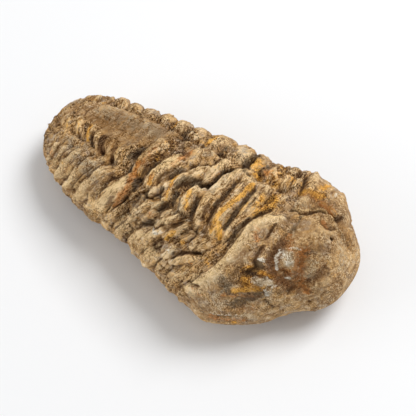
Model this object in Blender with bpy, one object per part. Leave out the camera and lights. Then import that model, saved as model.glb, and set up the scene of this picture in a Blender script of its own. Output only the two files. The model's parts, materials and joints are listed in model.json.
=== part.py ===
"""Trilobite fossil: the stone cast of one animal, back up, lying on a flat underside.

It is one solid. A loft of rings runs from tail to head, and the rings follow the furrows between the
body segments, so that every rib has its own rows of faces. Lengths are in millimetres here and are
turned to metres when the mesh is made. +X is the head end, +Y the animal's left and +Z up.

A place on the surface has two numbers: "along", the distance along X, and "round", the angle in
degrees round the body, which is 0 on top, -90 on the right margin and +90 on the left one.
"""

import math

import bpy
import numpy as np
from mathutils import Vector, noise

MM = 0.001

# The body's size
HALF_LENGTH = 40.0
STATIONS = [-40, -30, -20, -8, 3, 13, 20, 28, 35, 40]
MIDLINE = [2.1, 1.6, 0.6, 0.6, 0.1, -0.9, 0.1, 2.1, 3.1, 3.1]
HALF_WIDTH = [18, 16.3, 16, 16, 18.5, 20, 23, 22, 16.5, 18]
MARGIN_HEIGHT = [6, 6.3, 6.5, 6.8, 7, 7, 7.2, 7.5, 8, 8]
BACK_RISE = [12, 12.5, 13.5, 15.5, 16.5, 17, 17.5, 17.5, 16.5, 14]
BELLY_DROP = [6, 6.5, 7, 7.5, 8, 8, 8, 8, 8, 8]
HEAD_BLUNTNESS = 2.6
TAIL_BLUNTNESS = 2.5
SIDE_ROUNDNESS = 0.85
BACK_ROUNDNESS = 0.95

# The furrows between the segments: where each one lies along the body, at these angles round it
ROUND = [-90, -62, -38, -26, -12, 2, 22, 36, 75]
FURROWS = [
    [-37.2, -36.2, -35.3, -35.0, -34.4, -33.8, -34.0, -34.4, -36.0],
    [-35.5, -33.8, -32.8, -32.4, -31.5, -30.6, -30.7, -31.4, -33.5],
    [-33.5, -31.2, -30.2, -29.7, -28.2, -27.3, -27.6, -28.5, -31.0],
    [-31.3, -29.0, -27.5, -26.3, -24.4, -23.5, -23.6, -24.4, -27.0],
    [-28.0, -25.0, -23.2, -22.2, -20.6, -19.6, -20.0, -20.8, -23.0],
    [-24.5, -21.8, -19.1, -17.3, -17.2, -15.5, -15.7, -16.3, -18.6],
    [-20.2, -17.3, -14.0, -11.4, -12.2, -10.5, -11.1, -11.8, -14.0],
    [-14.6, -12.0, -8.2, -7.8, -7.2, -4.4, -6.8, -7.3, -9.5],
    [-11.2, -8.2, -5.6, -2.2, -2.6, 0.3, -1.8, -2.4, -5.0],
    [-6.5, -3.2, 0.4, 1.7, 2.2, 4.4, 3.6, 3.6, 1.4],
    [-0.8, 2.2, 4.6, 6.7, 6.7, 7.1, 9.1, 8.9, 6.2],
    [2.8, 6.4, 9.5, 11.2, 10.6, 10.8, 13.3, 13.2, 10.0],
    [6.2, 9.2, 13.3, 15.6, 15.0, 15.2, 16.6, 16.2, 13.0],
    [9.6, 12.8, 16.2, 16.6, 17.2, 18.8, 19.1, 19.4, 16.8],
    [10.5, 13.6, 17.0, 17.4, 17.9, 20.8, 22.4, 21.4, 19.0],
]
RIB_PITCH = 4.2
RIB_HEIGHT = 1.5
RIB_SHARPNESS = 0.75
RIB_SINK = 0.6

# The axial lobe, the raised middle third of the back, lies between two furrows along the body
LOBE_STATIONS = [-34, -22, -14, -4, 8, 18, 24]
LOBE_RIGHT = [-18, -19, -24, -27, -27, -26, -20]
LOBE_LEFT = [27, 29, 26, 21, 20, 19, 14]
LOBE_RISE = 0.9
AXIAL_FURROW_DEPTH = 1.1
AXIAL_FURROW_WIDTH = 2.2

# The ribs are worn away on this patch of the back: its middle and its half sizes
WORN_PATCH = (-20.5, 11.0, 13.5, 16.0)

# Lumps: along, round, half length, half angle, height. A pit has a negative height.
LUMPS = [
    (31.0, 4.0, 4.2, 17.0, 2.0),  # glabella, the dome of the head
    (29.2, -23.0, 1.9, 8.0, 1.3),  # first side lobe of the glabella
    (33.6, -30.0, 1.7, 8.0, 0.9),  # second side lobe
    (35.5, -22.0, 3.0, 22.0, 0.8),  # frontal lobe
    (29.0, 42.0, 6.0, 20.0, 0.9),  # left cheek
    (22.0, -38.0, 2.4, 20.0, -0.8),  # hollow of the right cheek
    (26.5, -43.0, 2.4, 5.0, 0.8),  # crystals on the right cheek
    (4.8, -16.0, 1.4, 8.0, 1.1),
    (2.5, -60.0, 1.0, 5.0, -1.3),
    (-15.6, -22.5, 0.8, 3.0, -1.6),
    (-20.1, -19.0, 0.8, 3.0, -1.4),
    (-24.2, -17.5, 0.8, 3.0, -1.6),
    (-28.4, -18.0, 0.8, 3.0, -1.6),
]

# Ridges and cracks: height, half width, then the points along and round that it runs through
RIDGES = [
    (1.3, 1.3, [(12.0, -85), (14.5, -62), (17.9, -45), (18.5, -26), (18.9, -10), (22.0, 0)]),
    (1.0, 1.2, [(24.2, 14), (24.0, 24), (22.8, 36), (21.5, 52)]),
    (1.1, 1.2, [(25.6, 4), (25.0, -8), (25.2, -20), (24.9, -27)]),
    (-0.9, 1.1, [(23.2, -6), (23.7, -17), (23.7, -28), (24.8, -37)]),
    (-1.5, 2.0, [(26.6, -6), (26.4, -14), (26.6, -28), (28.8, -38), (31.5, -46), (35.0, -54)]),
    (-0.8, 1.3, [(31.2, -16), (31.6, -25), (32.2, -36)]),
    (-0.9, 1.4, [(24.0, 7), (26.5, 9.0), (29.0, 19), (31.9, 25)]),
    (-1.6, 0.8, [(5.0, -6), (6.9, 0), (7.3, 8), (8.6, 15), (9.3, 24), (9.0, 36)]),
    (0.9, 0.8, [(4.4, 2), (5.9, 9), (7.4, 17), (8.0, 26), (7.8, 40)]),
]

# The faces of the mesh
ROWS_PER_RIB = 5
TAIL_ROWS = 5
HEAD_ROWS = 17
COLUMNS = 52
BACK_SHARE = 0.77
MM_PER_DEGREE = 0.30
LUMPINESS = 0.35
LUMP_SIZE = 3.5
END_FADE = 3.0

STONE_COLOUR = (0.31, 0.20, 0.105, 1.0)
STONE_ROUGHNESS = 0.85


def clear_scene():
    for old in list(bpy.data.objects):
        bpy.data.objects.remove(old)


def smooth_curve(at, stations, values):
    """A curve through the values at the stations that never swings past them."""
    at = np.asarray(at, float)
    xs, ys = np.array(stations, float), np.array(values, float)
    gaps = np.diff(xs)
    rises = np.diff(ys) / gaps
    slopes = np.zeros(len(xs))
    turning = rises[:-1] * rises[1:] <= 0
    total = np.where(turning, 1.0, rises[:-1] + rises[1:])
    slopes[1:-1] = np.where(turning, 0.0, 2 * rises[:-1] * rises[1:] / total)
    k = np.clip(np.searchsorted(xs, at) - 1, 0, len(gaps) - 1)
    u = np.clip((at - xs[k]) / gaps[k], 0.0, 1.0)
    start, end = (1 + 2 * u) * (1 - u) ** 2, u * u * (3 - 2 * u)
    leave, arrive = u * (1 - u) ** 2 * gaps[k], u * u * (u - 1) * gaps[k]
    return start * ys[k] + end * ys[k + 1] + leave * slopes[k] + arrive * slopes[k + 1]


def smooth_step(value, low, high):
    u = np.clip((value - low) / (high - low), 0.0, 1.0)
    return u * u * (3 - 2 * u)


def body_points(along, angle):
    """Points of the smooth body, before the ribs."""
    t = np.clip(along / HALF_LENGTH, -1.0, 1.0)
    blunt = np.where(t > 0, HEAD_BLUNTNESS, TAIL_BLUNTNESS)
    swell = np.maximum(1 - np.abs(t) ** blunt, 0.0) ** (1 / blunt)
    across, up = np.sin(np.radians(angle)), np.cos(np.radians(angle))
    across = np.sign(across) * np.abs(across) ** SIDE_ROUNDNESS
    rise = np.where(up > 0, smooth_curve(along, STATIONS, BACK_RISE), smooth_curve(along, STATIONS, BELLY_DROP))
    up = np.sign(up) * np.abs(up) ** BACK_ROUNDNESS
    y = smooth_curve(along, STATIONS, MIDLINE) + swell * smooth_curve(along, STATIONS, HALF_WIDTH) * across
    z = smooth_curve(along, STATIONS, MARGIN_HEIGHT) + swell * rise * up
    return np.stack([along, y, z], axis=-1)


def body_normals(along, angle):
    step = 0.05
    inner = np.clip(along, step - HALF_LENGTH, HALF_LENGTH - step)
    forward = body_points(inner + step, angle) - body_points(inner - step, angle)
    turn = body_points(inner, angle + step) - body_points(inner, angle - step)
    normal = np.cross(forward, turn)
    return normal / np.maximum(np.linalg.norm(normal, axis=-1, keepdims=True), 1e-9)


def furrow_lines(angle):
    """Where each furrow lies along the body. Under the belly it runs back to where it began."""
    closed_round = ROUND + [ROUND[0] + 360]
    return np.array([smooth_curve(angle, closed_round, line + line[:1]) for line in FURROWS])


def columns():
    """Angles round the body, most of them on the back and flanks."""
    on_back = round(COLUMNS * BACK_SHARE)
    back = np.linspace(-100.0, 100.0, on_back)
    belly = np.linspace(100.0, 260.0, COLUMNS - on_back + 2)[1:-1]
    return np.concatenate([back, belly])


def rows(angle):
    """How far along the body each row lies at each angle. The ends close in ever smaller steps."""
    lines = furrow_lines(angle)
    found = []
    for k in range(TAIL_ROWS):
        share = math.sin(math.radians(90) * (TAIL_ROWS - k) / (TAIL_ROWS + 0.3))
        found.append(lines[0] + share * (-HALF_LENGTH - lines[0]))
    for first, second in zip(lines[:-1], lines[1:]):
        for k in range(ROWS_PER_RIB):
            found.append(first + (second - first) * k / ROWS_PER_RIB)
    for k in range(HEAD_ROWS):
        share = math.sin(math.radians(90) * k / (HEAD_ROWS - 0.7))
        found.append(lines[-1] + share * (HALF_LENGTH - lines[-1]))
    return np.array(found)


def rib_height(along, angle):
    """Ribs: 0 in a furrow, highest in the middle of a rib, lower where the ribs crowd together."""
    lines = furrow_lines(angle)
    height = np.zeros_like(along)
    for first, second in zip(lines[:-1], lines[1:]):
        share = (along - first) / (second - first)
        inside = (share > 0) & (share < 1)
        arch = np.sin(np.pi * np.clip(share, 0.0, 1.0)) ** RIB_SHARPNESS
        room = np.clip((second - first) / RIB_PITCH, 0.0, 1.15)
        height = np.where(inside, RIB_HEIGHT * room * arch, height)
    return height


def lobe_height(along, angle):
    """The axial lobe's rise and the furrow on each side of it."""
    right = smooth_curve(along, LOBE_STATIONS, LOBE_RIGHT)
    left = smooth_curve(along, LOBE_STATIONS, LOBE_LEFT)
    rise = smooth_step(angle, right, right + 8) * (1 - smooth_step(angle, left - 8, left))
    height = LOBE_RISE * rise
    for edge in (right, left):
        gap = (angle - edge) * MM_PER_DEGREE / (AXIAL_FURROW_WIDTH / 2)
        height = height - AXIAL_FURROW_DEPTH * np.exp(-gap * gap)
    return height * smooth_step(along, -37, -30) * (1 - smooth_step(along, 19, 25))


def lump_height(along, angle, lump):
    middle, middle_angle, half_length, half_angle, height = lump
    out = ((along - middle) / half_length) ** 2 + ((angle - middle_angle) / half_angle) ** 2
    return height * np.exp(-out)


def ridge_height(along, angle, ridge):
    height, half_width, points = ridge
    nearest = np.full_like(along, 1e3)
    for (x0, g0), (x1, g1) in zip(points[:-1], points[1:]):
        dx, dg = x1 - x0, (g1 - g0) * MM_PER_DEGREE
        px, pg = along - x0, (angle - g0) * MM_PER_DEGREE
        share = np.clip((px * dx + pg * dg) / (dx * dx + dg * dg), 0.0, 1.0)
        nearest = np.minimum(nearest, np.hypot(px - share * dx, pg - share * dg))
    return height * np.exp(-((nearest / half_width) ** 2))


def relief(along, angle):
    """Height of the surface over the smooth body."""
    turned = np.where(angle > 180, angle - 360, angle)
    on_back = 1 - smooth_step(np.abs(turned), 92, 120)
    middle, middle_angle, half_length, half_angle = WORN_PATCH
    out = np.hypot((along - middle) / half_length, (turned - middle_angle) / half_angle)
    worn = 1 - smooth_step(out, 0.8, 1.15)
    height = (rib_height(along, angle) - RIB_SINK) * (1 - 0.9 * worn)
    height = height * smooth_step(along, -38, -31) + lobe_height(along, turned) * (1 - 0.5 * worn)
    for lump in LUMPS:
        height = height + lump_height(along, turned, lump)
    for ridge in RIDGES:
        height = height + ridge_height(along, turned, ridge)
    return height * on_back * smooth_step(HALF_LENGTH - np.abs(along), 0.0, END_FADE)


def lumpiness(points):
    """Gentle unevenness of the stone."""
    flat = points.reshape(-1, 3) / LUMP_SIZE
    values = [noise.noise(Vector(point)) for point in flat]
    return LUMPINESS * np.array(values).reshape(points.shape[:-1])


def surface_points():
    angle = columns()
    along = rows(angle)
    angle = np.broadcast_to(angle, along.shape)
    smooth = body_points(along, angle)
    height = relief(along, angle) + lumpiness(smooth)
    points = smooth + body_normals(along, angle) * height[..., None]
    points[..., 2] = np.maximum(points[..., 2], 0.0)
    return points


def make_solid(name, points):
    """Joins the rows of points into one closed mesh, with a fan of faces at each end."""
    row_count, column_count = points.shape[:2]
    vertices = [tuple(point) for point in points.reshape(-1, 3) * MM]
    tail, head = len(vertices), len(vertices) + 1
    vertices.append(tuple(points[0].mean(axis=0) * MM))
    vertices.append(tuple(points[-1].mean(axis=0) * MM))
    faces = []
    for i in range(row_count - 1):
        for j in range(column_count):
            k = (j + 1) % column_count
            a, b = i * column_count + j, i * column_count + k
            faces.append((a, a + column_count, b + column_count, b))
    last = (row_count - 1) * column_count
    for j in range(column_count):
        k = (j + 1) % column_count
        faces.append((tail, j, k))
        faces.append((head, last + k, last + j))
    mesh = bpy.data.meshes.new(name)
    mesh.from_pydata(vertices, [], faces)
    mesh.validate()
    return mesh


def stone():
    material = bpy.data.materials.new("stone")
    material.use_nodes = True
    principled = material.node_tree.nodes["Principled BSDF"]
    principled.inputs["Base Color"].default_value = STONE_COLOUR
    principled.inputs["Roughness"].default_value = STONE_ROUGHNESS
    principled.inputs["Metallic"].default_value = 0.0
    return material


def make_trilobite():
    mesh = make_solid("trilobite", surface_points())
    mesh.materials.append(stone())
    mesh.shade_smooth()
    trilobite = bpy.data.objects.new("trilobite", mesh)
    bpy.context.scene.collection.objects.link(trilobite)
    low = [min(vertex.co[i] for vertex in mesh.vertices) / MM for i in range(3)]
    high = [max(vertex.co[i] for vertex in mesh.vertices) / MM for i in range(3)]
    print("trilobite, mm: from", [round(v, 2) for v in low], "to", [round(v, 2) for v in high])
    print("faces:", len(mesh.polygons))


clear_scene()
make_trilobite()
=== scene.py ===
# %% [markdown]
# # A trilobite fossil
#
# This lesson dresses one stone fossil. A trilobite was a sea animal with a shell in three parts: a tail
# shield, a body of overlapping ribs with a raised lobe along its middle, and a head shield. This one
# turned to limestone whole. It lies on its belly, and its back is worn, cracked and stained.
#
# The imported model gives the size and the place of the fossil, and everything made here stays inside it.

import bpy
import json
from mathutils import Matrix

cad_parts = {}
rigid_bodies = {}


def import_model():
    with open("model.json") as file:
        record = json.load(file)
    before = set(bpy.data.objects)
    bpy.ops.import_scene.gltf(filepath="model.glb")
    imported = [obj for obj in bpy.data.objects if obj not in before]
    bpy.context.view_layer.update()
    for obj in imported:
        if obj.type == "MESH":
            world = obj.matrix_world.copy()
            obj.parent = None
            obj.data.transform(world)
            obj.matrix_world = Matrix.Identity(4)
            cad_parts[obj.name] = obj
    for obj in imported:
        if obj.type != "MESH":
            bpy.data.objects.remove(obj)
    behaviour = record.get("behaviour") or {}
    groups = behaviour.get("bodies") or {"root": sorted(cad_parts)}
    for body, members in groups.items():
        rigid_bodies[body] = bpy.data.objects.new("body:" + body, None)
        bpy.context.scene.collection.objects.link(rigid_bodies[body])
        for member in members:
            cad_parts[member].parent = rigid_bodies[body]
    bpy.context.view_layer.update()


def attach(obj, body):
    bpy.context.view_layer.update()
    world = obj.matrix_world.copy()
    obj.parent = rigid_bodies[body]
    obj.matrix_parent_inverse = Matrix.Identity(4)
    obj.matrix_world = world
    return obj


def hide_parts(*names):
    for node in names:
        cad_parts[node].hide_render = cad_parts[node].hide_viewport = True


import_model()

# %% [markdown]
# ## Places on the fossil
#
# A sculptor would push clay about by eye. In code it is easier to name a place by two numbers: how far
# along the body it is, in millimetres (+X is the head end), and the angle round the body, in degrees (0
# on top, -90 on the right margin, +90 on the left one). Ribs, cracks and stains are all given that way.
# Curves through a few chosen values say how wide, how high and how bent the body is at each place.

# %% Tools, units and two helpers for smooth curves
import json
import math

import bpy
import numpy as np
from mathutils import Vector, noise

MM = 0.001


def smooth_curve(at, stations, values):
    """A curve through the values at the stations that never swings past them."""
    at = np.asarray(at, float)
    xs, ys = np.array(stations, float), np.array(values, float)
    gaps = np.diff(xs)
    rises = np.diff(ys) / gaps
    slopes = np.zeros(len(xs))
    turning = rises[:-1] * rises[1:] <= 0
    total = np.where(turning, 1.0, rises[:-1] + rises[1:])
    slopes[1:-1] = np.where(turning, 0.0, 2 * rises[:-1] * rises[1:] / total)
    k = np.clip(np.searchsorted(xs, at) - 1, 0, len(gaps) - 1)
    u = np.clip((at - xs[k]) / gaps[k], 0.0, 1.0)
    start, end = (1 + 2 * u) * (1 - u) ** 2, u * u * (3 - 2 * u)
    leave, arrive = u * (1 - u) ** 2 * gaps[k], u * u * (u - 1) * gaps[k]
    return start * ys[k] + end * ys[k + 1] + leave * slopes[k] + arrive * slopes[k + 1]


def smooth_step(value, low, high):
    """0 below the low value, 1 above the high one, and an eased climb between them."""
    u = np.clip((value - low) / (high - low), 0.0, 1.0)
    return u * u * (3 - 2 * u)


print("a quarter of the way up, eased:", smooth_step(0.25, 0, 1))

# %% The smooth body: a loft of squared ovals, in millimetres, that closes at both ends
HALF_LENGTH = 40.0
STATIONS = [-40, -30, -20, -8, 3, 13, 20, 28, 35, 40]
MIDLINE = [2.1, 1.6, 0.6, 0.6, 0.1, -0.9, 0.1, 2.1, 3.1, 3.1]
HALF_WIDTH = [18, 16.2, 15.8, 15.7, 18.0, 19.8, 22.4, 21.8, 16.7, 18.2]
MARGIN_HEIGHT = [6, 6.3, 6.5, 6.8, 7, 7, 7.2, 7.5, 8, 8]
BACK_RISE = [12, 12.5, 13.5, 15.5, 16.5, 17, 17.5, 17.5, 16.5, 14]
BELLY_DROP = [6, 6.5, 7, 7.5, 8, 8, 8, 8, 8, 8]
HEAD_BLUNTNESS, TAIL_BLUNTNESS = 2.6, 2.5
SIDE_ROUNDNESS, BACK_ROUNDNESS = 0.85, 0.95


def body_points(along, angle):
    """Points of the smooth body at these places."""
    t = np.clip(along / HALF_LENGTH, -1.0, 1.0)
    blunt = np.where(t > 0, HEAD_BLUNTNESS, TAIL_BLUNTNESS)
    swell = np.maximum(1 - np.abs(t) ** blunt, 0.0) ** (1 / blunt)
    across, up = np.sin(np.radians(angle)), np.cos(np.radians(angle))
    across = np.sign(across) * np.abs(across) ** SIDE_ROUNDNESS
    back, belly = (smooth_curve(along, STATIONS, heights) for heights in (BACK_RISE, BELLY_DROP))
    rise = np.where(up > 0, back, belly)
    up = np.sign(up) * np.abs(up) ** BACK_ROUNDNESS
    y = smooth_curve(along, STATIONS, MIDLINE) + swell * smooth_curve(along, STATIONS, HALF_WIDTH) * across
    z = smooth_curve(along, STATIONS, MARGIN_HEIGHT) + swell * rise * up
    return np.stack([along, y, z], axis=-1)


print("smooth body, mm:", 2 * HALF_LENGTH, "long and about", 2 * max(HALF_WIDTH), "wide")

# %% Which way is out
SMALL_STEP = 0.05


def body_normals(along, angle):
    """Which way is out, from two short steps over the smooth body."""
    inner = np.clip(along, SMALL_STEP - HALF_LENGTH, HALF_LENGTH - SMALL_STEP)
    forward = body_points(inner + SMALL_STEP, angle) - body_points(inner - SMALL_STEP, angle)
    turn = body_points(inner, angle + SMALL_STEP) - body_points(inner, angle - SMALL_STEP)
    normal = np.cross(forward, turn)
    return normal / np.maximum(np.linalg.norm(normal, axis=-1, keepdims=True), 1e-9)


print("out at the top of the body:", body_normals(np.array(0.0), np.array(0.0)).round(2))

# %% [markdown]
# ## The furrows between the ribs
#
# The shell of the living animal was a row of hoops that overlapped. Each hoop is a rib of the fossil, and
# the furrows between them wander: they arch forward over the middle lobe, sweep back down the flanks and
# crowd where the body was squeezed. They could be cut into an even grid, but then a rib that runs slanted
# over the grid gets stepped edges. So each furrow is one curve through a few chosen places round the
# body, and the rows of the mesh follow the furrows, which keeps every rib clean at a low face count.

# %% Where each furrow lies along the body, at these angles round it
ROUND = [-90, -62, -38, -26, -12, 2, 22, 36, 75]
FURROWS = [
    [-37.2, -36.2, -35.3, -35.0, -34.4, -33.8, -34.0, -34.4, -36.0],
    [-35.5, -33.8, -32.8, -32.4, -31.5, -30.6, -30.7, -31.4, -33.5],
    [-33.5, -31.2, -30.2, -29.7, -28.2, -27.3, -27.6, -28.5, -31.0],
    [-31.3, -29.0, -27.5, -26.3, -24.4, -23.5, -23.6, -24.4, -27.0],
    [-28.0, -25.0, -23.2, -22.2, -20.6, -19.6, -20.0, -20.8, -23.0],
    [-24.5, -21.8, -19.1, -17.3, -17.2, -15.5, -15.7, -16.3, -18.6],
    [-20.2, -17.3, -14.0, -11.4, -12.2, -10.5, -11.1, -11.8, -14.0],
    [-14.6, -12.0, -8.2, -7.8, -7.2, -4.4, -6.8, -7.3, -9.5],
    [-11.2, -8.2, -5.6, -2.2, -2.6, 0.3, -1.8, -2.4, -5.0],
    [-6.5, -3.2, 0.4, 1.7, 2.2, 4.4, 3.6, 3.6, 1.4],
    [-0.8, 2.2, 4.6, 6.7, 6.7, 7.1, 9.1, 8.9, 6.2],
    [2.8, 6.4, 9.5, 11.2, 10.6, 10.8, 13.3, 13.2, 10.0],
    [6.2, 9.2, 13.3, 15.6, 15.0, 15.2, 16.6, 16.2, 13.0],
    [9.6, 12.8, 16.2, 16.6, 17.2, 18.8, 19.1, 19.4, 16.8],
    [10.5, 13.6, 17.0, 17.4, 17.9, 20.8, 22.4, 21.4, 19.0],
]


def furrow_lines(angle):
    """Where each furrow lies along the body. Under the belly it runs back to where it began."""
    closed_round = ROUND + [ROUND[0] + 360]
    return np.array([smooth_curve(angle, closed_round, line + line[:1]) for line in FURROWS])


print("furrows:", len(FURROWS))

# %% The columns of the fine mesh: angles round the body, most of them on the back and flanks
BACK_COLUMNS = 230
BELLY_COLUMNS = 54
BACK_EDGE = 105.0

back_angles = np.linspace(-BACK_EDGE, BACK_EDGE, BACK_COLUMNS)
belly_angles = np.linspace(BACK_EDGE, 360 - BACK_EDGE, BELLY_COLUMNS + 2)[1:-1]
column_angles = np.concatenate([back_angles, belly_angles])
lines = furrow_lines(column_angles)
print("columns:", len(column_angles))

# %% The rows of the fine mesh, which close up toward both ends
ROWS_PER_RIB = 16
TAIL_ROWS = 22
HEAD_ROWS = 84
TAIL_GAP, HEAD_GAP = 0.3, 0.7  # shares of a row that are left open at the tips
QUARTER_TURN = math.radians(90)


def rows():
    """How far along each row lies, and its rib phase: a furrow's number, and between two furrows a share."""
    places, phases = [], []
    for k in range(TAIL_ROWS):
        share = math.sin(QUARTER_TURN * (TAIL_ROWS - k) / (TAIL_ROWS + TAIL_GAP))
        places.append(lines[0] + share * (-HALF_LENGTH - lines[0]))
        phases.append(-share)
    for number, (first, second) in enumerate(zip(lines[:-1], lines[1:])):
        for k in range(ROWS_PER_RIB):
            places.append(first + (second - first) * k / ROWS_PER_RIB)
            phases.append(number + k / ROWS_PER_RIB)
    for k in range(HEAD_ROWS):
        share = math.sin(QUARTER_TURN * k / (HEAD_ROWS - HEAD_GAP))
        places.append(lines[-1] + share * (HALF_LENGTH - lines[-1]))
        phases.append(len(lines) - 1 + share)
    return np.array(places), np.array(phases)


along, row_phases = rows()
angle = np.broadcast_to(column_angles, along.shape).copy()
phase = np.broadcast_to(row_phases[:, None], along.shape).copy()
turned = np.where(angle > 180, angle - 360, angle)
smooth_body = body_points(along, angle)
outward = body_normals(along, angle)
print("mesh rows and columns:", along.shape)

# %% [markdown]
# ## Wobble
#
# Nothing on a stone is straight. Each crack could be drawn with many more points, but that is slow and
# looks drawn. Instead, before a lump, crack or stain is placed, the place itself is shifted a little by
# smooth noise, so that every line comes out ragged in the same way as its neighbours.

# %% Smooth noise over the body, and the places that it shifts
MM_PER_DEGREE = 0.30
SEED_STEP = 17.3
BIG_LUMP, SMALL_LUMP = 2.2, 0.9
# Millimetres by which big and small lumps shift a place
SHIFT_ALONG, SHIFT_ROUND = (0.15, 0.12), (0.3, 0.18)


def wobble(size, seed):
    """Smooth noise, about -1 to 1, whose lumps are this many millimetres across."""
    flat = smooth_body.reshape(-1, 3) / size + seed * SEED_STEP
    values = [noise.noise(Vector(point)) for point in flat]
    return np.array(values).reshape(along.shape)


shift_along = SHIFT_ALONG[0] * wobble(BIG_LUMP, 1) + SHIFT_ALONG[1] * wobble(SMALL_LUMP, 2)
shift_round = SHIFT_ROUND[0] * wobble(BIG_LUMP, 3) + SHIFT_ROUND[1] * wobble(SMALL_LUMP, 4)
ragged_along = along + shift_along
ragged_angle = turned + shift_round / MM_PER_DEGREE
print("wobble, mm: up to", round(np.abs(shift_along).max(), 2), "along the body")
print("wobble, mm: up to", round(np.abs(shift_round).max(), 2), "round it")

# %% [markdown]
# ## Lumps, ridges and cracks
#
# The head's lobes, its cracks and the pits in the tail are one of a kind, so each is placed one by one. They
# could be sculpted, but a list is easier to read and to mend. A lump is a soft hill, and a ridge is a
# soft wall along a line of places. A negative height makes a pit or a crack. Both are only heights here:
# the surface is raised later, all at once, so that they fuse with the ribs.

# %% Heights of hills and of walls


def hill(middle, middle_angle, half_length, half_angle):
    """1 in the middle of an oval place, falling to 0."""
    out_along = (ragged_along - middle) / half_length
    out_round = (ragged_angle - middle_angle) / half_angle
    return np.exp(-(out_along ** 2) - out_round ** 2)


def beside(points):
    """For a line through these places: distance to it, on which side, run along it and run still to go."""
    nearest, side, run = np.full_like(along, 1e3), np.zeros_like(along), np.zeros_like(along)
    start = 0.0
    for (x0, g0), (x1, g1) in zip(points[:-1], points[1:]):
        dx, dg = x1 - x0, (g1 - g0) * MM_PER_DEGREE
        px, pg = ragged_along - x0, (ragged_angle - g0) * MM_PER_DEGREE
        share = np.clip((px * dx + pg * dg) / (dx * dx + dg * dg), 0.0, 1.0)
        distance = np.hypot(px - share * dx, pg - share * dg)
        closer = distance < nearest
        nearest = np.where(closer, distance, nearest)
        side = np.where(closer, np.sign(dx * pg - dg * px), side)
        run = np.where(closer, start + share * math.hypot(dx, dg), run)
        start += math.hypot(dx, dg)
    return nearest, side, run, start - run


def wall(half_width, points):
    """1 along a line of places, falling to 0 beside it."""
    return np.exp(-((beside(points)[0] / half_width) ** 2))


off_midline = beside([(-40, 0), (40, 0)])[0]
print("share of the surface within 1 mm of the midline:", (off_midline < 1).mean().round(3))

# %% Lumps and pits: along, round, half length, half angle, height
PINHOLE = (33.3, 4.0)
LUMPS = [
    (31.0, 4.0, 4.2, 17.0, 1.7),  # glabella, the dome of the head
    (29.2, -22.0, 1.6, 7.0, 0.8),  # first side lobe of the glabella
    (33.4, -28.0, 1.3, 9.0, 0.6),  # second side lobe
    (36.5, -25.0, 2.2, 24.0, 0.7),  # frontal lobe
    (29.0, 42.0, 6.0, 20.0, 0.9),  # left cheek
    (21.6, -40.0, 2.0, 20.0, -0.7),  # hollow of the right cheek
    (26.3, -44.0, 1.4, 4.0, 0.45),  # crystals on the right cheek
    (28.4, -45.0, 1.0, 4.0, 0.4),
    (28.8, -53.0, 0.9, 4.0, 0.35),
    (25.8, -64.0, 2.6, 8.0, -0.5),
    (*PINHOLE, 0.45, 1.6, -1.4),  # pinhole in the glabella
    (36.0, -74.0, 0.5, 2.0, -0.7),
    (3.4, -6.5, 1.3, 3.5, -0.6),  # hollows between and beside the rings
    (-12.0, -8.0, 0.9, 6.0, -0.8),
    (-7.2, -13.0, 0.8, 6.0, -0.6),
    (-1.9, -11.0, 0.9, 5.0, -0.6),
    (11.4, 14.5, 0.9, 2.0, -0.5),
    (-7.4, 15.0, 1.2, 3.0, -0.5),
    (3.0, -59.0, 0.8, 6.0, -1.4),  # the open socket on the right flank
    (-1.2, -50.0, 1.1, 5.0, -0.9),
    (-5.2, -34.0, 0.6, 3.0, -1.0),
    (-15.6, -23.0, 0.6, 2.4, -1.2),
    (-17.2, -21.5, 0.5, 2.6, -0.7),
    (-20.1, -19.0, 0.6, 2.4, -0.8),
    (-24.2, -18.0, 0.6, 2.4, -1.1),
    (-28.3, -18.6, 0.6, 2.2, -1.0),
    (-3.9, 2.6, 0.6, 1.3, -1.0),
    (22.4, 2.8, 0.35, 1.2, -0.9),
    (18.7, 16.8, 0.6, 1.4, -1.0),
    (19.6, 18.0, 0.5, 1.4, -0.8),
    (31.9, 23.0, 0.45, 3.0, -1.3),
]
print("lumps and pits:", len(LUMPS))

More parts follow.
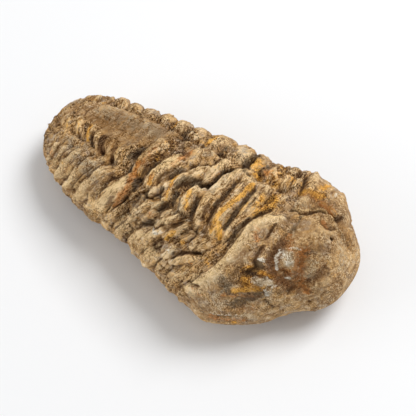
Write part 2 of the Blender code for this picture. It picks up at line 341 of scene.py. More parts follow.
# %% Ridges and cracks: height, half width, and the places that each runs through
RIDGES = [
    (0.3, 1.3, [(12.0, -85), (14.0, -64), (17.3, -48), (18.6, -30), (19.0, -12), (20.6, -3), (22.6, 0)]),
    (-0.7, 0.4, [(20.6, 1.5), (18.6, -4), (17.9, -11), (17.5, -25)]),
    (1.0, 1.0, [(24.2, 14), (24.0, 24), (22.8, 36), (21.5, 52)]),
    (0.5, 1.3, [(25.4, 4), (25.0, -8), (25.0, -20), (24.9, -27)]),
    (-0.8, 0.22, [(23.1, -5), (23.3, -12)]),
    (-0.8, 0.3, [(23.5, -20), (23.6, -29), (24.6, -34), (23.8, -40)]),
    (-0.85, 1.6, [(26.5, -4), (26.4, -15), (26.3, -25), (27.6, -33), (30.0, -41), (31.8, -50), (32.8, -57)]),
    (-0.7, 0.8, [(30.5, -13), (31.2, -22), (32.4, -35), (33.4, -46), (34.8, -57)]),
    (-0.7, 0.5, [(28.3, -30), (29.8, -33), (31.2, -38)]),
    (-0.6, 0.8, [(35.6, -14), (35.3, -30), (34.6, -45)]),
    (-1.4, 0.34, [(23.7, 6), (24.5, 7.5), (26.0, 6.7), (26.7, 7.2), (27.3, 10.5), (28.4, 14.5), (29.6, 18),
                  (31.0, 19)]),
    (-0.6, 0.3, [(26.8, 12.5), (28.2, 18), (29.7, 20.5)]),
    (0.5, 0.5, [(27.6, 13.5), (29.2, 18.2), (31.2, 16.5)]),
    (-1.2, 0.4, [(30.2, 20.5), (31.4, 20.5), (32.0, 24), (32.2, 35)]),
    (-0.9, 0.35, [(20.4, 44), (21.2, 36), (22.2, 26), (22.9, 19)]),
    (-0.8, 0.35, [(18.4, 46), (19.5, 39), (20.2, 33)]),
    (-0.8, 0.45, [(30.2, 7.5), (31.4, 7), (32.2, 9.5), (32.8, 14)]),
    (0.5, 0.6, [(32.6, 13), (34.0, 17), (35.4, 18)]),
    (-0.7, 0.5, [(35.2, 20), (36.6, 22), (37.5, 27)]),
    (-0.6, 0.3, [(29.0, -62), (30.0, -70), (30.8, -76)]),
    (-0.6, 0.3, [(32.2, -58), (32.4, -64)]),
    (-0.7, 0.3, [(21.3, -82), (23.0, -82.5), (24.8, -81)]),
    (0.4, 0.3, [(19.8, -78.5), (23.0, -79.5), (25.6, -79)]),
    (-2.8, 0.45, [(5.0, -6), (6.4, -2.8), (6.9, 0), (7.0, 6), (8.0, 12), (9.0, 19), (9.3, 26), (8.9, 38)]),
    (0.4, 0.7, [(5.0, 2), (6.0, 9), (7.2, 16), (8.0, 26), (7.6, 40)]),
    (-1.0, 0.3, [(0.4, -0.5), (2.4, 3.6), (4.5, 6.6)]),
    (-0.8, 0.3, [(-4.6, -30), (-4.6, -36), (-3.2, -34)]),
    (-0.9, 0.35, [(0.8, -28), (-0.2, -38)]),
    (-0.8, 0.3, [(-2.6, -57), (-0.8, -53), (0.2, -49)]),
    (-0.9, 0.3, [(1.8, -64), (2.6, -66.5), (3.2, -63)]),
    (0.5, 0.4, [(0.6, -52), (1.8, -52), (2.8, -48.5)]),
    (-0.9, 0.28, [(13.2, -41), (10.8, -46), (9.2, -50), (8.0, -57), (7.4, -60.5)]),
    (-0.3, 0.55, [(12.8, -66), (11.9, -72), (11.2, -78)]),
    (-0.8, 0.28, [(13.0, -66.5), (14.5, -62), (16.4, -59.5)]),
    (-0.4, 0.3, [(15.6, -50), (14.7, -57), (13.6, -64)]),
    (-0.8, 0.25, [(-8.4, -45), (-9.6, -52), (-10.8, -60)]),
    (-0.6, 0.3, [(-11.4, -55), (-12.6, -70)]),
    (-0.6, 0.3, [(-19.6, -47), (-18.9, -39), (-18.2, -31)]),
    (-0.5, 0.3, [(-27.2, -44), (-26.6, -36), (-25.9, -28)]),
    (-0.5, 0.3, [(-23.4, -45), (-22.9, -37), (-22.4, -30)]),
    (-0.6, 0.35, [(-24.3, -49), (-24.8, -64)]),
    (-0.5, 0.3, [(-30.2, -46), (-30.5, -61)]),
    (-0.5, 0.3, [(-33.0, -44), (-33.0, -60)]),
    (-0.6, 0.35, [(-13.9, -36), (-14.6, -45), (-15.6, -55)]),
    (-0.3, 0.25, [(-16.0, -36), (-17.2, -47), (-18.2, -58)]),
    (-0.35, 0.25, [(-20.1, -35), (-21.5, -47), (-22.7, -60), (-23.4, -70)]),
    (-0.3, 0.25, [(-24.4, -31), (-25.3, -42), (-26.4, -55)]),
    (-0.35, 0.25, [(-27.9, -30), (-29.0, -44), (-29.5, -58)]),
    (-0.3, 0.25, [(-31.0, -32), (-31.6, -48), (-32.1, -66)]),
]
print("ridges and cracks:", len(RIDGES))

# %% [markdown]
# ## The middle lobe and the worn patch
#
# A raised lobe runs along the middle of the back, between two furrows. Near the tail the weather wore it
# to a smooth oval patch. Both are simple shapes that follow the body, so each is one formula over the two
# coordinates instead of a list of strokes.

# %% The middle lobe of the back, with a furrow on each side
LOBE_STATIONS = [-34, -22, -14, -4, 8, 18, 24]
LOBE_RIGHT = [-18, -19, -24, -27, -27, -26, -20]
LOBE_LEFT = [27, 29, 26, 21, 20, 19, 14]
LOBE_ENDS = ((-37, -30), (19, 25))
LOBE_RISE = 0.6
CLIMB_RIGHT, CLIMB_LEFT = (-4, 14), (-8, 0)  # degrees from the lobe's edge
FURROW_DEPTH = 1.1
FURROW_HALF_WIDTH = 1.1
# The share of that depth at the tail end and at the head end, and from where to where it changes
RIGHT_FURROW, LEFT_FURROW = (0.5, 0.1, -14, 0), (0.5, 0.8, -16, -8)

right_edge = smooth_curve(along, LOBE_STATIONS, LOBE_RIGHT)
left_edge = smooth_curve(along, LOBE_STATIONS, LOBE_LEFT)
on_lobe = smooth_step(ragged_angle - right_edge, *CLIMB_RIGHT)
on_lobe *= 1 - smooth_step(ragged_angle - left_edge, *CLIMB_LEFT)
lobe = LOBE_RISE * on_lobe
for edge, (tail_share, head_share, *change) in ((right_edge, RIGHT_FURROW), (left_edge, LEFT_FURROW)):
    share = tail_share + (head_share - tail_share) * smooth_step(along, *change)
    gap = (ragged_angle - edge) * MM_PER_DEGREE / FURROW_HALF_WIDTH
    lobe -= FURROW_DEPTH * share * np.exp(-gap * gap)
lobe *= smooth_step(along, *LOBE_ENDS[0]) * (1 - smooth_step(along, *LOBE_ENDS[1]))
print("middle lobe, mm: from", round(lobe.min(), 2), "to", round(lobe.max(), 2))

# %% The worn patch near the tail
PATCH_MIDDLE = (-20.5, 11.0)
PATCH_HALF_LENGTH, PATCH_HALF_ANGLE = 13.5, 16.0
PATCH_RIM = (0.8, 1.15)

out_along = (ragged_along - PATCH_MIDDLE[0]) / PATCH_HALF_LENGTH
out_round = (ragged_angle - PATCH_MIDDLE[1]) / PATCH_HALF_ANGLE
worn = 1 - smooth_step(np.hypot(out_along, out_round), *PATCH_RIM)
print("worn share of the surface:", round(float(worn.mean()), 3))

# %% [markdown]
# ## Broken ribs and plates that overlap
#
# On the right flank the ribs broke into loose pieces, and on the middle lobe they stand as flat-topped
# slabs. Down the flanks the end of each rib overlaps the next, like roof tiles. Loose blocks could be
# laid on the surface, but they would hang over it, and the real pieces are stuck fast. So a slab is a
# wall with a flat top and steep sides, and a plate's edge is a step that slopes down again behind.

# %% Heights of slabs and of steps
SLAB_STEEPNESS, SLAB_LEAN_END = 9, 0.5
HALF_STEP, LEDGE_END = 0.25, 1.5


def slab(half_width, lean, points):
    """A flat top with steep sides along a line of places. Lean makes one edge of the top the higher one."""
    nearest, side, run, to_go = beside(points)
    off_end = smooth_step(np.minimum(run, to_go), 0, SLAB_LEAN_END)
    top = 1 + lean * side * nearest / half_width * off_end
    return top * np.exp(-((nearest / half_width) ** SLAB_STEEPNESS))


def ledge(reach, points):
    """A step up across a line of places, sloping down again behind it. It is high on the line's left."""
    nearest, side, run, to_go = beside(points)
    step_up = smooth_step(side * nearest, -HALF_STEP, HALF_STEP)
    behind = np.exp(-((np.maximum(side, 0) * nearest / reach) ** 2))
    return step_up * behind * smooth_step(np.minimum(run, to_go), 0, LEDGE_END)


tried = slab(1.0, 0.0, [(-5, 0), (5, 0)])
print("share of the surface on a slab of 10 x 2 mm:", round((tried > 0.5).mean(), 3))

# %% Broken pieces of rib: height, half width, lean, and the places that each lies along
SLABS = [
    (0.25, 0.6, 0.2, [(-36.0, 0), (-35.3, -9), (-34.5, -17)]),
    (0.4, 0.7, 0.3, [(-33.9, -6), (-33.0, -14), (-32.4, -20)]),
    (0.55, 0.75, 0.3, [(-30.4, -4), (-29.6, -11), (-28.8, -17)]),
    (0.65, 0.75, 0.3, [(-26.2, -5), (-25.6, -11), (-24.9, -18)]),
    (0.4, 0.7, 0.3, [(-23.6, -7), (-22.9, -12), (-21.6, -21)]),
    (0.35, 0.9, 0.2, [(-19.9, -7), (-19.2, -15), (-18.4, -23)]),
    (0.7, 0.75, 0.3, [(-16.5, -8), (-16.0, -16), (-15.2, -24)]),
    (0.9, 1.1, 0.0, [(-9.0, 2), (-9.4, -10), (-9.6, -19), (-9.4, -26)]),
    (1.2, 1.6, -0.2, [(-9.8, -31), (-10.7, -42), (-12.2, -54), (-13.6, -65)]),
    (0.9, 1.1, 0.2, [(-3.3, -2), (-4.5, -10), (-5.3, -18), (-5.2, -25)]),
    (0.9, 0.75, 0.3, [(-2.0, -20), (-3.2, -27), (-4.7, -35)]),
    (1.0, 1.0, 0.2, [(4.0, 2), (2.2, -3), (0.6, -9), (-0.6, -17), (-0.3, -25)]),
    (1.0, 1.1, -0.2, [(5.4, -8), (4.6, -15), (4.7, -23)]),
    (0.6, 0.5, 0.0, [(2.9, -17), (2.7, -25)]),
    (1.0, 1.4, -0.2, [(9.6, 15), (8.7, 4), (8.6, -8), (9.2, -18), (9.8, -25)]),
    (1.0, 0.9, 0.3, [(5.6, -2), (5.9, 6), (6.3, 12)]),
    (0.5, 1.2, 0.0, [(-0.7, 8), (-1.0, 0)]),
    (0.9, 1.3, -0.2, [(11.7, 18), (12.7, 10), (13.0, 0), (12.8, -10), (13.2, -22)]),
    (0.7, 0.75, -0.2, [(16.1, 12), (16.4, 0), (16.4, -10), (16.3, -20)]),
    (0.5, 0.5, 0.0, [(17.6, 10), (17.9, -4), (17.7, -16)]),
    (0.9, 0.6, 0.2, [(0.3, -29), (-0.6, -33), (-1.8, -37)]),
    (0.8, 0.8, 0.2, [(-5.3, -38), (-6.7, -52)]),
    (0.8, 0.7, 0.2, [(-3.2, -38), (-4.6, -50), (-5.8, -60)]),
    (0.9, 0.6, 0.2, [(-1.2, -41), (-2.4, -52)]),
    (0.5, 1.8, 0.0, [(-1.0, -60), (-2.5, -72), (-4.0, -84)]),
    (0.7, 2.0, 0.0, [(2.2, -72), (0.5, -80), (-1.2, -90)]),
    (0.8, 0.6, 0.2, [(2.8, -47), (1.3, -55)]),
    (0.8, 0.7, 0.2, [(7.0, -50), (5.8, -63)]),
    (0.8, 0.9, 0.2, [(11.4, -48), (9.6, -54), (8.0, -61)]),
    (1.1, 0.7, 0.2, [(4.8, -31), (3.2, -39)]),
    (0.9, 0.55, 0.2, [(2.7, -31), (1.5, -37)]),
    (0.9, 0.6, 0.2, [(1.9, -40), (0.9, -46)]),
    (0.8, 0.6, 0.2, [(4.9, -43), (3.9, -50)]),
    (0.8, 0.6, 0.2, [(9.4, -33), (8.5, -42)]),
    (1.0, 0.6, 0.2, [(7.4, -31), (6.2, -40)]),
    (0.7, 0.8, 0.2, [(14.0, -30), (12.6, -38)]),
    (0.7, 0.6, 0.2, [(11.2, -31), (10.6, -42)]),
]
print("broken pieces of rib:", len(SLABS))

# %% Edges of plates that overlap: height, reach behind the edge, and the places that each runs through
HEAD_BORDER = [(24.5, 1), (22.6, 0), (20.4, -2), (18.7, -8), (18.4, -20), (18.0, -32), (17.3, -42)]
HEAD_BORDER += [(15.8, -52), (14.0, -64), (12.8, -74)]
LEDGES = [
    (0.9, 3.5, HEAD_BORDER),
    (1.0, 2.2, [(-25.8, -25), (-26.4, -33), (-27.3, -41), (-27.8, -49), (-28.4, -62), (-29.0, -76)]),
    (1.0, 2.2, [(-18.1, -27), (-18.9, -38), (-19.8, -47), (-20.6, -56), (-21.3, -67), (-22.2, -80)]),
    (0.9, 2.0, [(-22.3, -26), (-23.0, -34), (-23.8, -42), (-24.3, -50), (-24.8, -59), (-25.3, -69),
                (-26.0, -80)]),
    (0.7, 1.5, [(-13.8, -34), (-14.6, -44), (-15.8, -56)]),
    (0.6, 1.6, [(-18.4, -62), (-17.9, -70), (-18.5, -80)]),
    (0.7, 1.6, [(-32.6, -36), (-33.0, -48), (-33.2, -60), (-33.8, -74)]),
    (0.7, 1.6, [(-29.6, -34), (-30.1, -45), (-30.5, -62), (-31.2, -76)]),
    (0.5, 1.5, [(13.4, -40), (10.8, -46), (9.2, -50), (8.0, -57)]),
    (0.45, 1.7, [(-6.3, -60), (-8.2, -72), (-9.8, -84)]),
    (0.5, 1.7, [(-2.7, -59), (-4.5, -71), (-5.7, -84)]),
    (0.5, 1.7, [(1.4, -67), (-0.2, -77), (-1.5, -88)]),
    (0.45, 1.7, [(5.6, -64), (4.2, -74), (3.2, -86)]),
    (0.4, 1.6, [(8.6, -63), (7.6, -73), (6.8, -85)]),
]
print("edges of plates:", len(LEDGES))

# %% [markdown]
# ## What the weather left
#
# The weather took the ribs down unevenly, and it left some areas rougher than others: the head and the
# worn patch are smooth, and the flanks crumble. One noise over everything would look like plaster. So
# each area gets a share, from 0 to 1, of the full rib height and of the full roughness.

# %% What is left of the ribs: along, round, reach, and share
WORN_RIBS = [
    (-24.0, -58.0, 12.0, 38.0, 0.75),
    (-33.0, 10.0, 5.0, 60.0, 0.45),
    (3.0, -48.0, 12.0, 26.0, 0.3),
    (-24.0, -14.0, 10.0, 12.0, 0.3),
    (4.0, -6.0, 17.0, 24.0, 0.08),
    (-3.0, 8.0, 7.0, 12.0, 0.5),
    (-13.0, -12.0, 4.0, 12.0, 0.7),
]

LEFT_IN_PATCH = 0.1
WORN_RIM = (0.6, 1.2)

left_of_ribs = 1 - (1 - LEFT_IN_PATCH) * worn
for middle, middle_angle, half_length, half_angle, share in WORN_RIBS:
    out = np.hypot((ragged_along - middle) / half_length, (ragged_angle - middle_angle) / half_angle)
    left_of_ribs = np.minimum(left_of_ribs, share + (1 - share) * smooth_step(out, *WORN_RIM))
print("rib height that is left, on average:", round(left_of_ribs.mean(), 2))

# %% Where the smooth head begins at each angle round the body, and where it crumbled as the body did
HEAD_ROUND = [-180, -90, -60, -45, -10, 0, 20, 60, 180]
HEAD_EDGE = [12, 12, 14, 17, 18.5, 21, 23, 20, 12]
EDGE_EASE = (-0.5, 1.5)
# Along, round, reach, and how much crumbled
CRUMBLED_CHEEKS = [(25.8, 27.0, 3.0, 9.0, 0.6), (25.6, -45.0, 3.0, 9.0, 0.5)]


def patch(x, g, middle, middle_angle, half_length, half_angle):
    """1 all over a squarish place, falling quickly to 0 at its edge."""
    return np.exp(-(((x - middle) / half_length) ** 4) - ((g - middle_angle) / half_angle) ** 4)


on_the_head = smooth_step(ragged_along - smooth_curve(turned, HEAD_ROUND, HEAD_EDGE), *EDGE_EASE)
for *place, share in CRUMBLED_CHEEKS:
    on_the_head *= 1 - share * patch(ragged_along, ragged_angle, *place)
print("head's share of the surface:", round(on_the_head.mean(), 3))

# %% Carve the lobe, lumps, ridges and cracks
LOBE_LOST_IN_PATCH = 0.5

carved = lobe * (1 - LOBE_LOST_IN_PATCH * worn)
for *place, height in LUMPS:
    carved += height * hill(*place)
for height, half_width, points in RIDGES:
    carved += height * wall(half_width, points)
print("carving, mm: from", round(carved.min(), 2), "to", round(carved.max(), 2))

# %% Carve the broken pieces, with a seam round parts of each, carved a little and painted dark as shadow
SLAB_HEIGHT, SLAB_WIDTH = 0.9, 1.2  # of the heights and half widths in the table
SEAM_OUT, SEAM_HALF_WIDTH = 1.3, 0.24
SEAM_START, SEAM_END = (0.3, 0.62), (0, 0.8)
SEAM_PATCH, FAVOURED_SIDE, EXTRA_DARKNESS = 2.6, 0.12, 0.1
SEAM_LOST_ON_TOPS, SLAB_TOP = 0.8, (0.6, 0.9)

on_slab, painted_shadow_seams = np.zeros_like(along), np.zeros_like(along)
patchy = 0.5 + 0.5 * wobble(SEAM_PATCH, 5)
for height, half_width, lean, points in SLABS:
    piece = slab(SLAB_WIDTH * half_width, lean, points)
    carved += SLAB_HEIGHT * height * piece
    on_slab = np.maximum(on_slab, piece)
    nearest, side, run, to_go = beside(points)
    past_edge = (nearest - SEAM_OUT * half_width) / SEAM_HALF_WIDTH
    broken = smooth_step(patchy + FAVOURED_SIDE * side, *SEAM_START)
    broken *= smooth_step(np.minimum(run, to_go), *SEAM_END)
    darkness = min(height + EXTRA_DARKNESS, 1)
    painted_shadow_seams = np.maximum(painted_shadow_seams, darkness * broken * np.exp(-past_edge * past_edge))
painted_shadow_seams *= 1 - SEAM_LOST_ON_TOPS * smooth_step(on_slab, *SLAB_TOP)
print("share of the surface on broken pieces:", round(on_slab.mean(), 3))

# %% Carve the plates' edges, and put a seam of painted shadow in each edge, thin crack and pinhole
LEDGE_HEIGHT, LEDGE_SEAM, LEDGE_SEAM_HALF_WIDTH = 1.4, 1.1, 0.28
TORN = (0.15, 0.45)
THIN, CRACK_SEAM, CRACK_SEAM_HALF_WIDTH = 0.5, 0.6, 0.26
DARKER_WITH_DEPTH = 0.5
PINHOLE_SEAM, PINHOLE_SIZE = 1.8, (0.42, 1.5)
SEAM_DEPTH, SEAM_LOST_ON_HEAD = 0.2, 0.7

for height, reach, points in LEDGES:
    carved += LEDGE_HEIGHT * height * ledge(reach, points)
    torn = smooth_step(patchy, *TORN)
    painted_shadow_seams = np.maximum(painted_shadow_seams, LEDGE_SEAM * wall(LEDGE_SEAM_HALF_WIDTH, points) * torn)
# Thin cracks get painted shadow, darker the deeper they are
for height, half_width, points in RIDGES:
    if height < 0 and half_width < THIN:
        darkness = min(2 * CRACK_SEAM, CRACK_SEAM - DARKER_WITH_DEPTH * height)
        painted_shadow_seams = np.maximum(painted_shadow_seams, darkness * wall(CRACK_SEAM_HALF_WIDTH, points))
painted_shadow_seams = np.maximum(painted_shadow_seams, PINHOLE_SEAM * hill(*PINHOLE, *PINHOLE_SIZE))
carved -= SEAM_DEPTH * painted_shadow_seams * (1 - SEAM_LOST_ON_HEAD * on_the_head)
print("all carving, mm: from", round(carved.min(), 2), "to", round(carved.max(), 2))

# %% How much the stone crumbles at each place: its calmer areas, and by how much they are calmer
RUBBLE, CALM_FLANK = (2, -42, 7, 15), (-24, -52, 11, 26)
MARGIN_START, FAR_SIDE_START, FAR_SIDE_END = (58, 78), (30, 48), (10, 18)

rubble, calm_flank = patch(along, turned, *RUBBLE), patch(along, turned, *CALM_FLANK)
margin = smooth_step(np.abs(turned), *MARGIN_START)
far_side = smooth_step(turned, *FAR_SIDE_START) * (1 - smooth_step(along, *FAR_SIDE_END))
CALMER = [
    (worn, 0.45),
    (on_the_head, 0.55),
    (margin, 0.4),
    (rubble, -0.15),
    (np.minimum(on_slab, 1), 0.4),
    (calm_flank, 0.75),
    (far_side, 0.5),
]
crumble = np.ones_like(along)
for area, share in CALMER:
    crumble *= 1 - share * area
print("crumbling, on average:", round(crumble.mean(), 2))

# %% Where the stone is streaked along the ribs instead of grainy
STREAKED = [(on_slab, 1.0), (calm_flank, 0.9), (far_side, 0.7), (rubble, 0.5)]
streaked = np.clip(np.maximum.reduce([share * area for area, share in STREAKED]), 0, 1)
print("streaked, on average:", round(streaked.mean(), 2))

# %% [markdown]
# ## Stains, with some painted light and shade
#
# The stone is brown limestone. Iron has stained parts of it ochre and rust, other parts are nearly black,
# and a few crystals are cream. The pale strokes are partly paler stone on the edges and partly a painted
# highlight on crests and painted light on the near lower flank, and some dark strokes are painted shade in
# the carved cracks, pits and furrows. The stains follow no rule, so they are drawn like the cracks, as soft
# strokes, and each kind is stored as a strength at every point of the surface. A painted picture would do
# it too, but it needs a file and an unwrapped surface. The material breaks the strokes' edges up with finer
# noise.

# %% Ochre stain: half width, strength, and the places that each stroke runs through
OCHRE = [
    (0.6, 0.95, [(13.9, 10), (13.6, 0), (12.5, -9), (12.3, -14), (12.9, -23)]),
    (0.7, 0.8, [(13.1, -18), (14.2, -20), (14.8, -23)]),
    (1.4, 0.75, [(9.6, 39), (10.8, 29), (12.9, 22)]),
    (1.3, 0.6, [(14.4, 30), (16.0, 22), (17.6, 20)]),
    (0.7, 0.6, [(13.6, 75), (14.4, 55), (15.2, 42)]),
    (0.9, 0.55, [(17.6, 5), (18.0, -2)]),
    (1.0, 0.75, [(19.4, 8), (20.2, 3), (18.4, -2)]),
    (0.7, 0.6, [(15.6, -2), (16.0, -8)]),
    (1.3, 0.75, [(23.4, 22), (25.4, 24), (26.4, 28)]),
    (1.0, 0.65, [(25.2, 34), (25.6, 44)]),
    (0.6, 0.5, [(26.8, 21), (28.8, 23), (30.8, 27)]),
    (0.8, 0.75, [(4.3, -13), (5.3, -22)]),
    (0.45, 1.0, [(6.2, -40), (5.2, -43), (4.6, -50)]),
    (0.6, 0.6, [(8.2, -44), (8.8, -42)]),
    (0.9, 0.6, [(-0.9, -10), (-0.2, -18), (0.2, -26)]),
    (0.5, 0.65, [(-7.7, -3), (-7.3, -7)]),
    (0.5, 0.5, [(-8.2, 2), (-7.8, 5)]),
    (0.9, 0.7, [(-1.4, 38), (-0.9, 30), (-1.1, 25)]),
    (0.6, 0.95, [(-5.5, -18), (-4.9, -25)]),
    (0.8, 0.5, [(-16.6, 37), (-15.6, 31)]),
    (0.8, 0.5, [(-11.6, 38), (-10.8, 32)]),
    (0.8, 0.45, [(-6.4, 37), (-5.4, 31)]),
    (0.5, 0.5, [(-4.6, 21), (-4.0, 19)]),
    (0.9, 0.8, [(-9.8, -15), (-9.2, -24)]),
    (0.6, 0.5, [(-30.4, -5), (-29.4, -12), (-28.9, -16)]),
    (0.7, 0.75, [(-26.3, -6), (-25.4, -17)]),
    (0.6, 0.5, [(-33.4, -8), (-32.6, -18)]),
    (0.5, 0.55, [(-16.8, -9), (-15.8, -20)]),
    (0.8, 0.35, [(-28.2, -47), (-26.6, -54)]),
    (0.5, 0.4, [(-29.6, 27), (-29.2, 22)]),
    (0.8, 0.9, [(24.0, -36), (26.2, -38), (28.0, -39)]),
    (1.2, 0.75, [(23.6, -36), (24.2, -46), (25.0, -51)]),
    (0.9, 0.8, [(23.0, -55), (25.2, -53), (27.6, -50)]),
    (0.6, 0.4, [(22.8, -27), (23.4, -36)]),
    (0.8, 0.4, [(36.2, 30), (37.2, 26)]),
    (0.8, 0.35, [(37.6, -18), (38.4, -26)]),
    (0.8, 0.35, [(35.0, -11), (35.6, -14)]),
    (0.6, 0.45, [(15.0, -34), (15.4, -43)]),
    (0.6, 0.4, [(12.0, -50), (13.0, -56)]),
    (0.8, 0.4, [(9.4, -52), (10.4, -58)]),
    (0.6, 0.4, [(19.0, -64), (20.4, -72)]),
    (0.7, 0.35, [(24.6, -72), (26.4, -74)]),
    (0.5, 0.8, [(24.5, -89), (24.7, -92)]),
    (5.0, 0.16, [(15.0, -40), (9.0, -52)]),
    (2.6, 0.42, [(10.5, 34), (18.5, 28)]),
    (2.0, 0.3, [(22.0, 30), (27.0, 40)]),
    (3.0, 0.22, [(21.0, -12), (24.0, -30)]),
    (4.5, 0.20, [(29.0, 8), (31.0, -4)]),
    (6.0, 0.14, [(-12.0, 2), (14.0, 8)]),
    (3.5, 0.20, [(-36.0, -12), (-31.0, -12)]),
]
print("strokes of ochre:", len(OCHRE))

# %% Rust stain
RUST = [
    (0.9, 0.55, [(-8.9, -2), (-8.7, -14)]),
    (0.9, 1.0, [(-9.5, -17), (-9.3, -27)]),
    (0.7, 0.8, [(-9.2, -28), (-9.3, -38), (-10.3, -49), (-11.1, -58)]),
    (0.4, 0.9, [(-3.2, -6), (-2.6, -1)]),
    (0.6, 0.9, [(-2.3, 1), (-1.8, 6)]),
    (0.6, 0.6, [(-5.4, -19), (-5.2, -25)]),
    (0.6, 0.5, [(0.2, -17), (-0.2, -25)]),
    (0.8, 0.45, [(12.0, 34), (16.0, 30)]),
    (1.0, 0.5, [(23.8, 19), (26.0, 21), (30.0, 25)]),
    (0.7, 0.5, [(-1.2, -42), (-1.5, -46)]),
    (0.6, 0.5, [(6.5, 6), (6.6, 0)]),
    (0.6, 0.5, [(-32.6, -50), (-32.2, -60)]),
    (1.2, 0.5, [(26.6, -8), (28.4, -14)]),
    (1.3, 0.6, [(30.4, -12), (31.2, -24), (32.3, -36), (33.4, -46), (34.6, -57)]),
    (1.5, 0.5, [(26.8, -28), (28.4, -36), (31.0, -48), (33.0, -56)]),
    (1.6, 0.55, [(33.0, -44), (34.2, -52), (35.0, -58)]),
    (0.35, 1.0, [(34.7, -60.5), (35.1, -61)]),
    (0.9, 0.55, [(28.6, -31), (30.2, -34), (31.2, -39)]),
    (0.5, 0.7, [(30.1, 8.5), (31.4, 7.5)]),
    (0.5, 0.8, [(27.6, 19), (29.6, 22), (31.2, 21)]),
    (0.8, 0.5, [(20.4, -10), (22.6, -18)]),
    (0.8, 0.55, [(15.0, -63), (16.8, -66)]),
    (1.2, 0.5, [(20.0, -85), (26.0, -86)]),
    (1.6, 0.4, [(23.0, -74), (28.0, -70)]),
    (0.7, 0.6, [(21.4, -60), (24.4, -60), (27.6, -58)]),
    (1.0, 0.6, [(13.4, 30), (14.8, 26)]),
    (0.7, 0.4, [(35.2, -16), (34.8, -40)]),
    (0.7, 0.45, [(12.4, -51), (13.0, -55)]),
    (5.0, 0.18, [(33.0, -35), (36.5, -50)]),
    (4.0, 0.15, [(-10.0, -25), (-8.0, 0)]),
]
print("strokes of rust:", len(RUST))

# %% Charcoal stain, and painted shade: many of its strokes lie in the carved cracks and pits
CHARCOAL_AND_PAINTED_SHADE = [
    (0.45, 1.3, [(5.0, -6), (6.4, -2.8), (6.9, 0), (7.0, 6), (8.0, 12), (9.0, 19), (9.3, 26), (9.0, 40)]),
    (0.9, 0.9, [(-11.8, -4), (-12.2, -9), (-12.8, -13)]),
    (0.6, 0.85, [(-10.9, -15), (-11.4, -28)]),
    (0.6, 0.95, [(-8.2, -28), (-8.0, -36)]),
    (0.8, 0.7, [(-7.0, -9), (-7.0, -19)]),
    (0.8, 0.5, [(-7.8, 15), (-6.4, 15)]),
    (0.5, 0.5, [(-7.6, -24), (-7.4, -28)]),
    (1.0, 0.6, [(-5.6, -37), (-6.4, -49)]),
    (0.6, 0.8, [(-4.7, -31), (-4.6, -37)]),
    (0.4, 0.7, [(-5.6, -55), (-7.8, -60)]),
    (0.8, 0.8, [(-1.0, -6), (-2.2, -12)]),
    (0.5, 0.85, [(-1.6, -22), (-1.3, -29)]),
    (0.6, 0.75, [(0.8, -28), (-0.3, -38)]),
    (1.0, 0.7, [(0.2, -47), (-1.2, -51), (-2.6, -57)]),
    (0.6, 0.6, [(-7.2, 23), (-7.2, 36)]),
    (0.7, 0.9, [(2.2, -8), (0.9, -14)]),
    (0.6, 0.8, [(1.6, -18), (2.1, -25)]),
    (0.9, 0.8, [(2.4, -7), (4.2, -6)]),
    (0.5, 0.8, [(3.2, -20), (3.8, -25)]),
    (0.7, 0.75, [(6.6, -14), (7.0, -24)]),
    (1.3, 0.5, [(4.6, -29), (7.0, -27), (9.8, -29)]),
    (0.4, 0.8, [(10.8, 5), (10.4, -10)]),
    (0.7, 0.7, [(10.8, 14.5), (12.0, 14.5)]),
    (0.6, 0.7, [(12.7, 38), (12.6, 25)]),
    (0.65, 0.95, [(15.2, 6), (15.0, -3), (14.9, -11), (15.2, -17)]),
    (0.4, 0.6, [(16.5, 2), (16.6, -5)]),
    (0.3, 0.8, [(18.0, -6), (17.4, -14), (16.9, -24)]),
    (0.4, 0.8, [(20.4, 2), (18.6, -4)]),
    (0.8, 0.9, [(8.5, 50), (8.8, 30), (9.4, 23)]),
    (0.6, 0.6, [(3.0, 33), (3.0, 22)]),
    (0.5, 0.7, [(2.5, -65), (3.2, -62)]),
    (0.9, 1.0, [(24.4, -30), (25.2, -34), (23.9, -40)]),
    (1.6, 0.45, [(15.6, -70), (18.4, -80)]),
    (1.9, 0.7, [(24.0, -67), (26.3, -61), (28.2, -54)]),
    (1.5, 0.55, [(20.0, -48), (22.0, -58)]),
    (0.6, 0.6, [(26.3, 3.5), (26.5, -2)]),
    (0.4, 0.8, [(21.6, -82), (24.4, -81)]),
    (0.5, 0.6, [(-22.8, 32), (-21.6, 31)]),
    (0.4, 0.6, [(-24.9, -12), (-24.2, -18)]),
    (0.5, 0.6, [(-33.6, -64), (-33.9, -72)]),
    (0.4, 0.55, [(-22.4, -30), (-23.4, -44)]),
    (0.4, 0.5, [(-26.0, -29), (-27.2, -43)]),
    (0.5, 0.55, [(-24.4, -50), (-24.9, -64)]),
    (0.9, 0.35, [(12.0, -80), (16.0, -86)]),
    (2.6, 0.25, [(-7.0, -34), (2.0, -33), (9.0, -31)]),
    (2.6, 0.16, [(-5.0, -50), (3.0, -54), (7.0, -44)]),
    (1.6, 0.3, [(14.6, 4), (14.8, -18)]),
]
print("strokes of charcoal:", len(CHARCOAL_AND_PAINTED_SHADE))
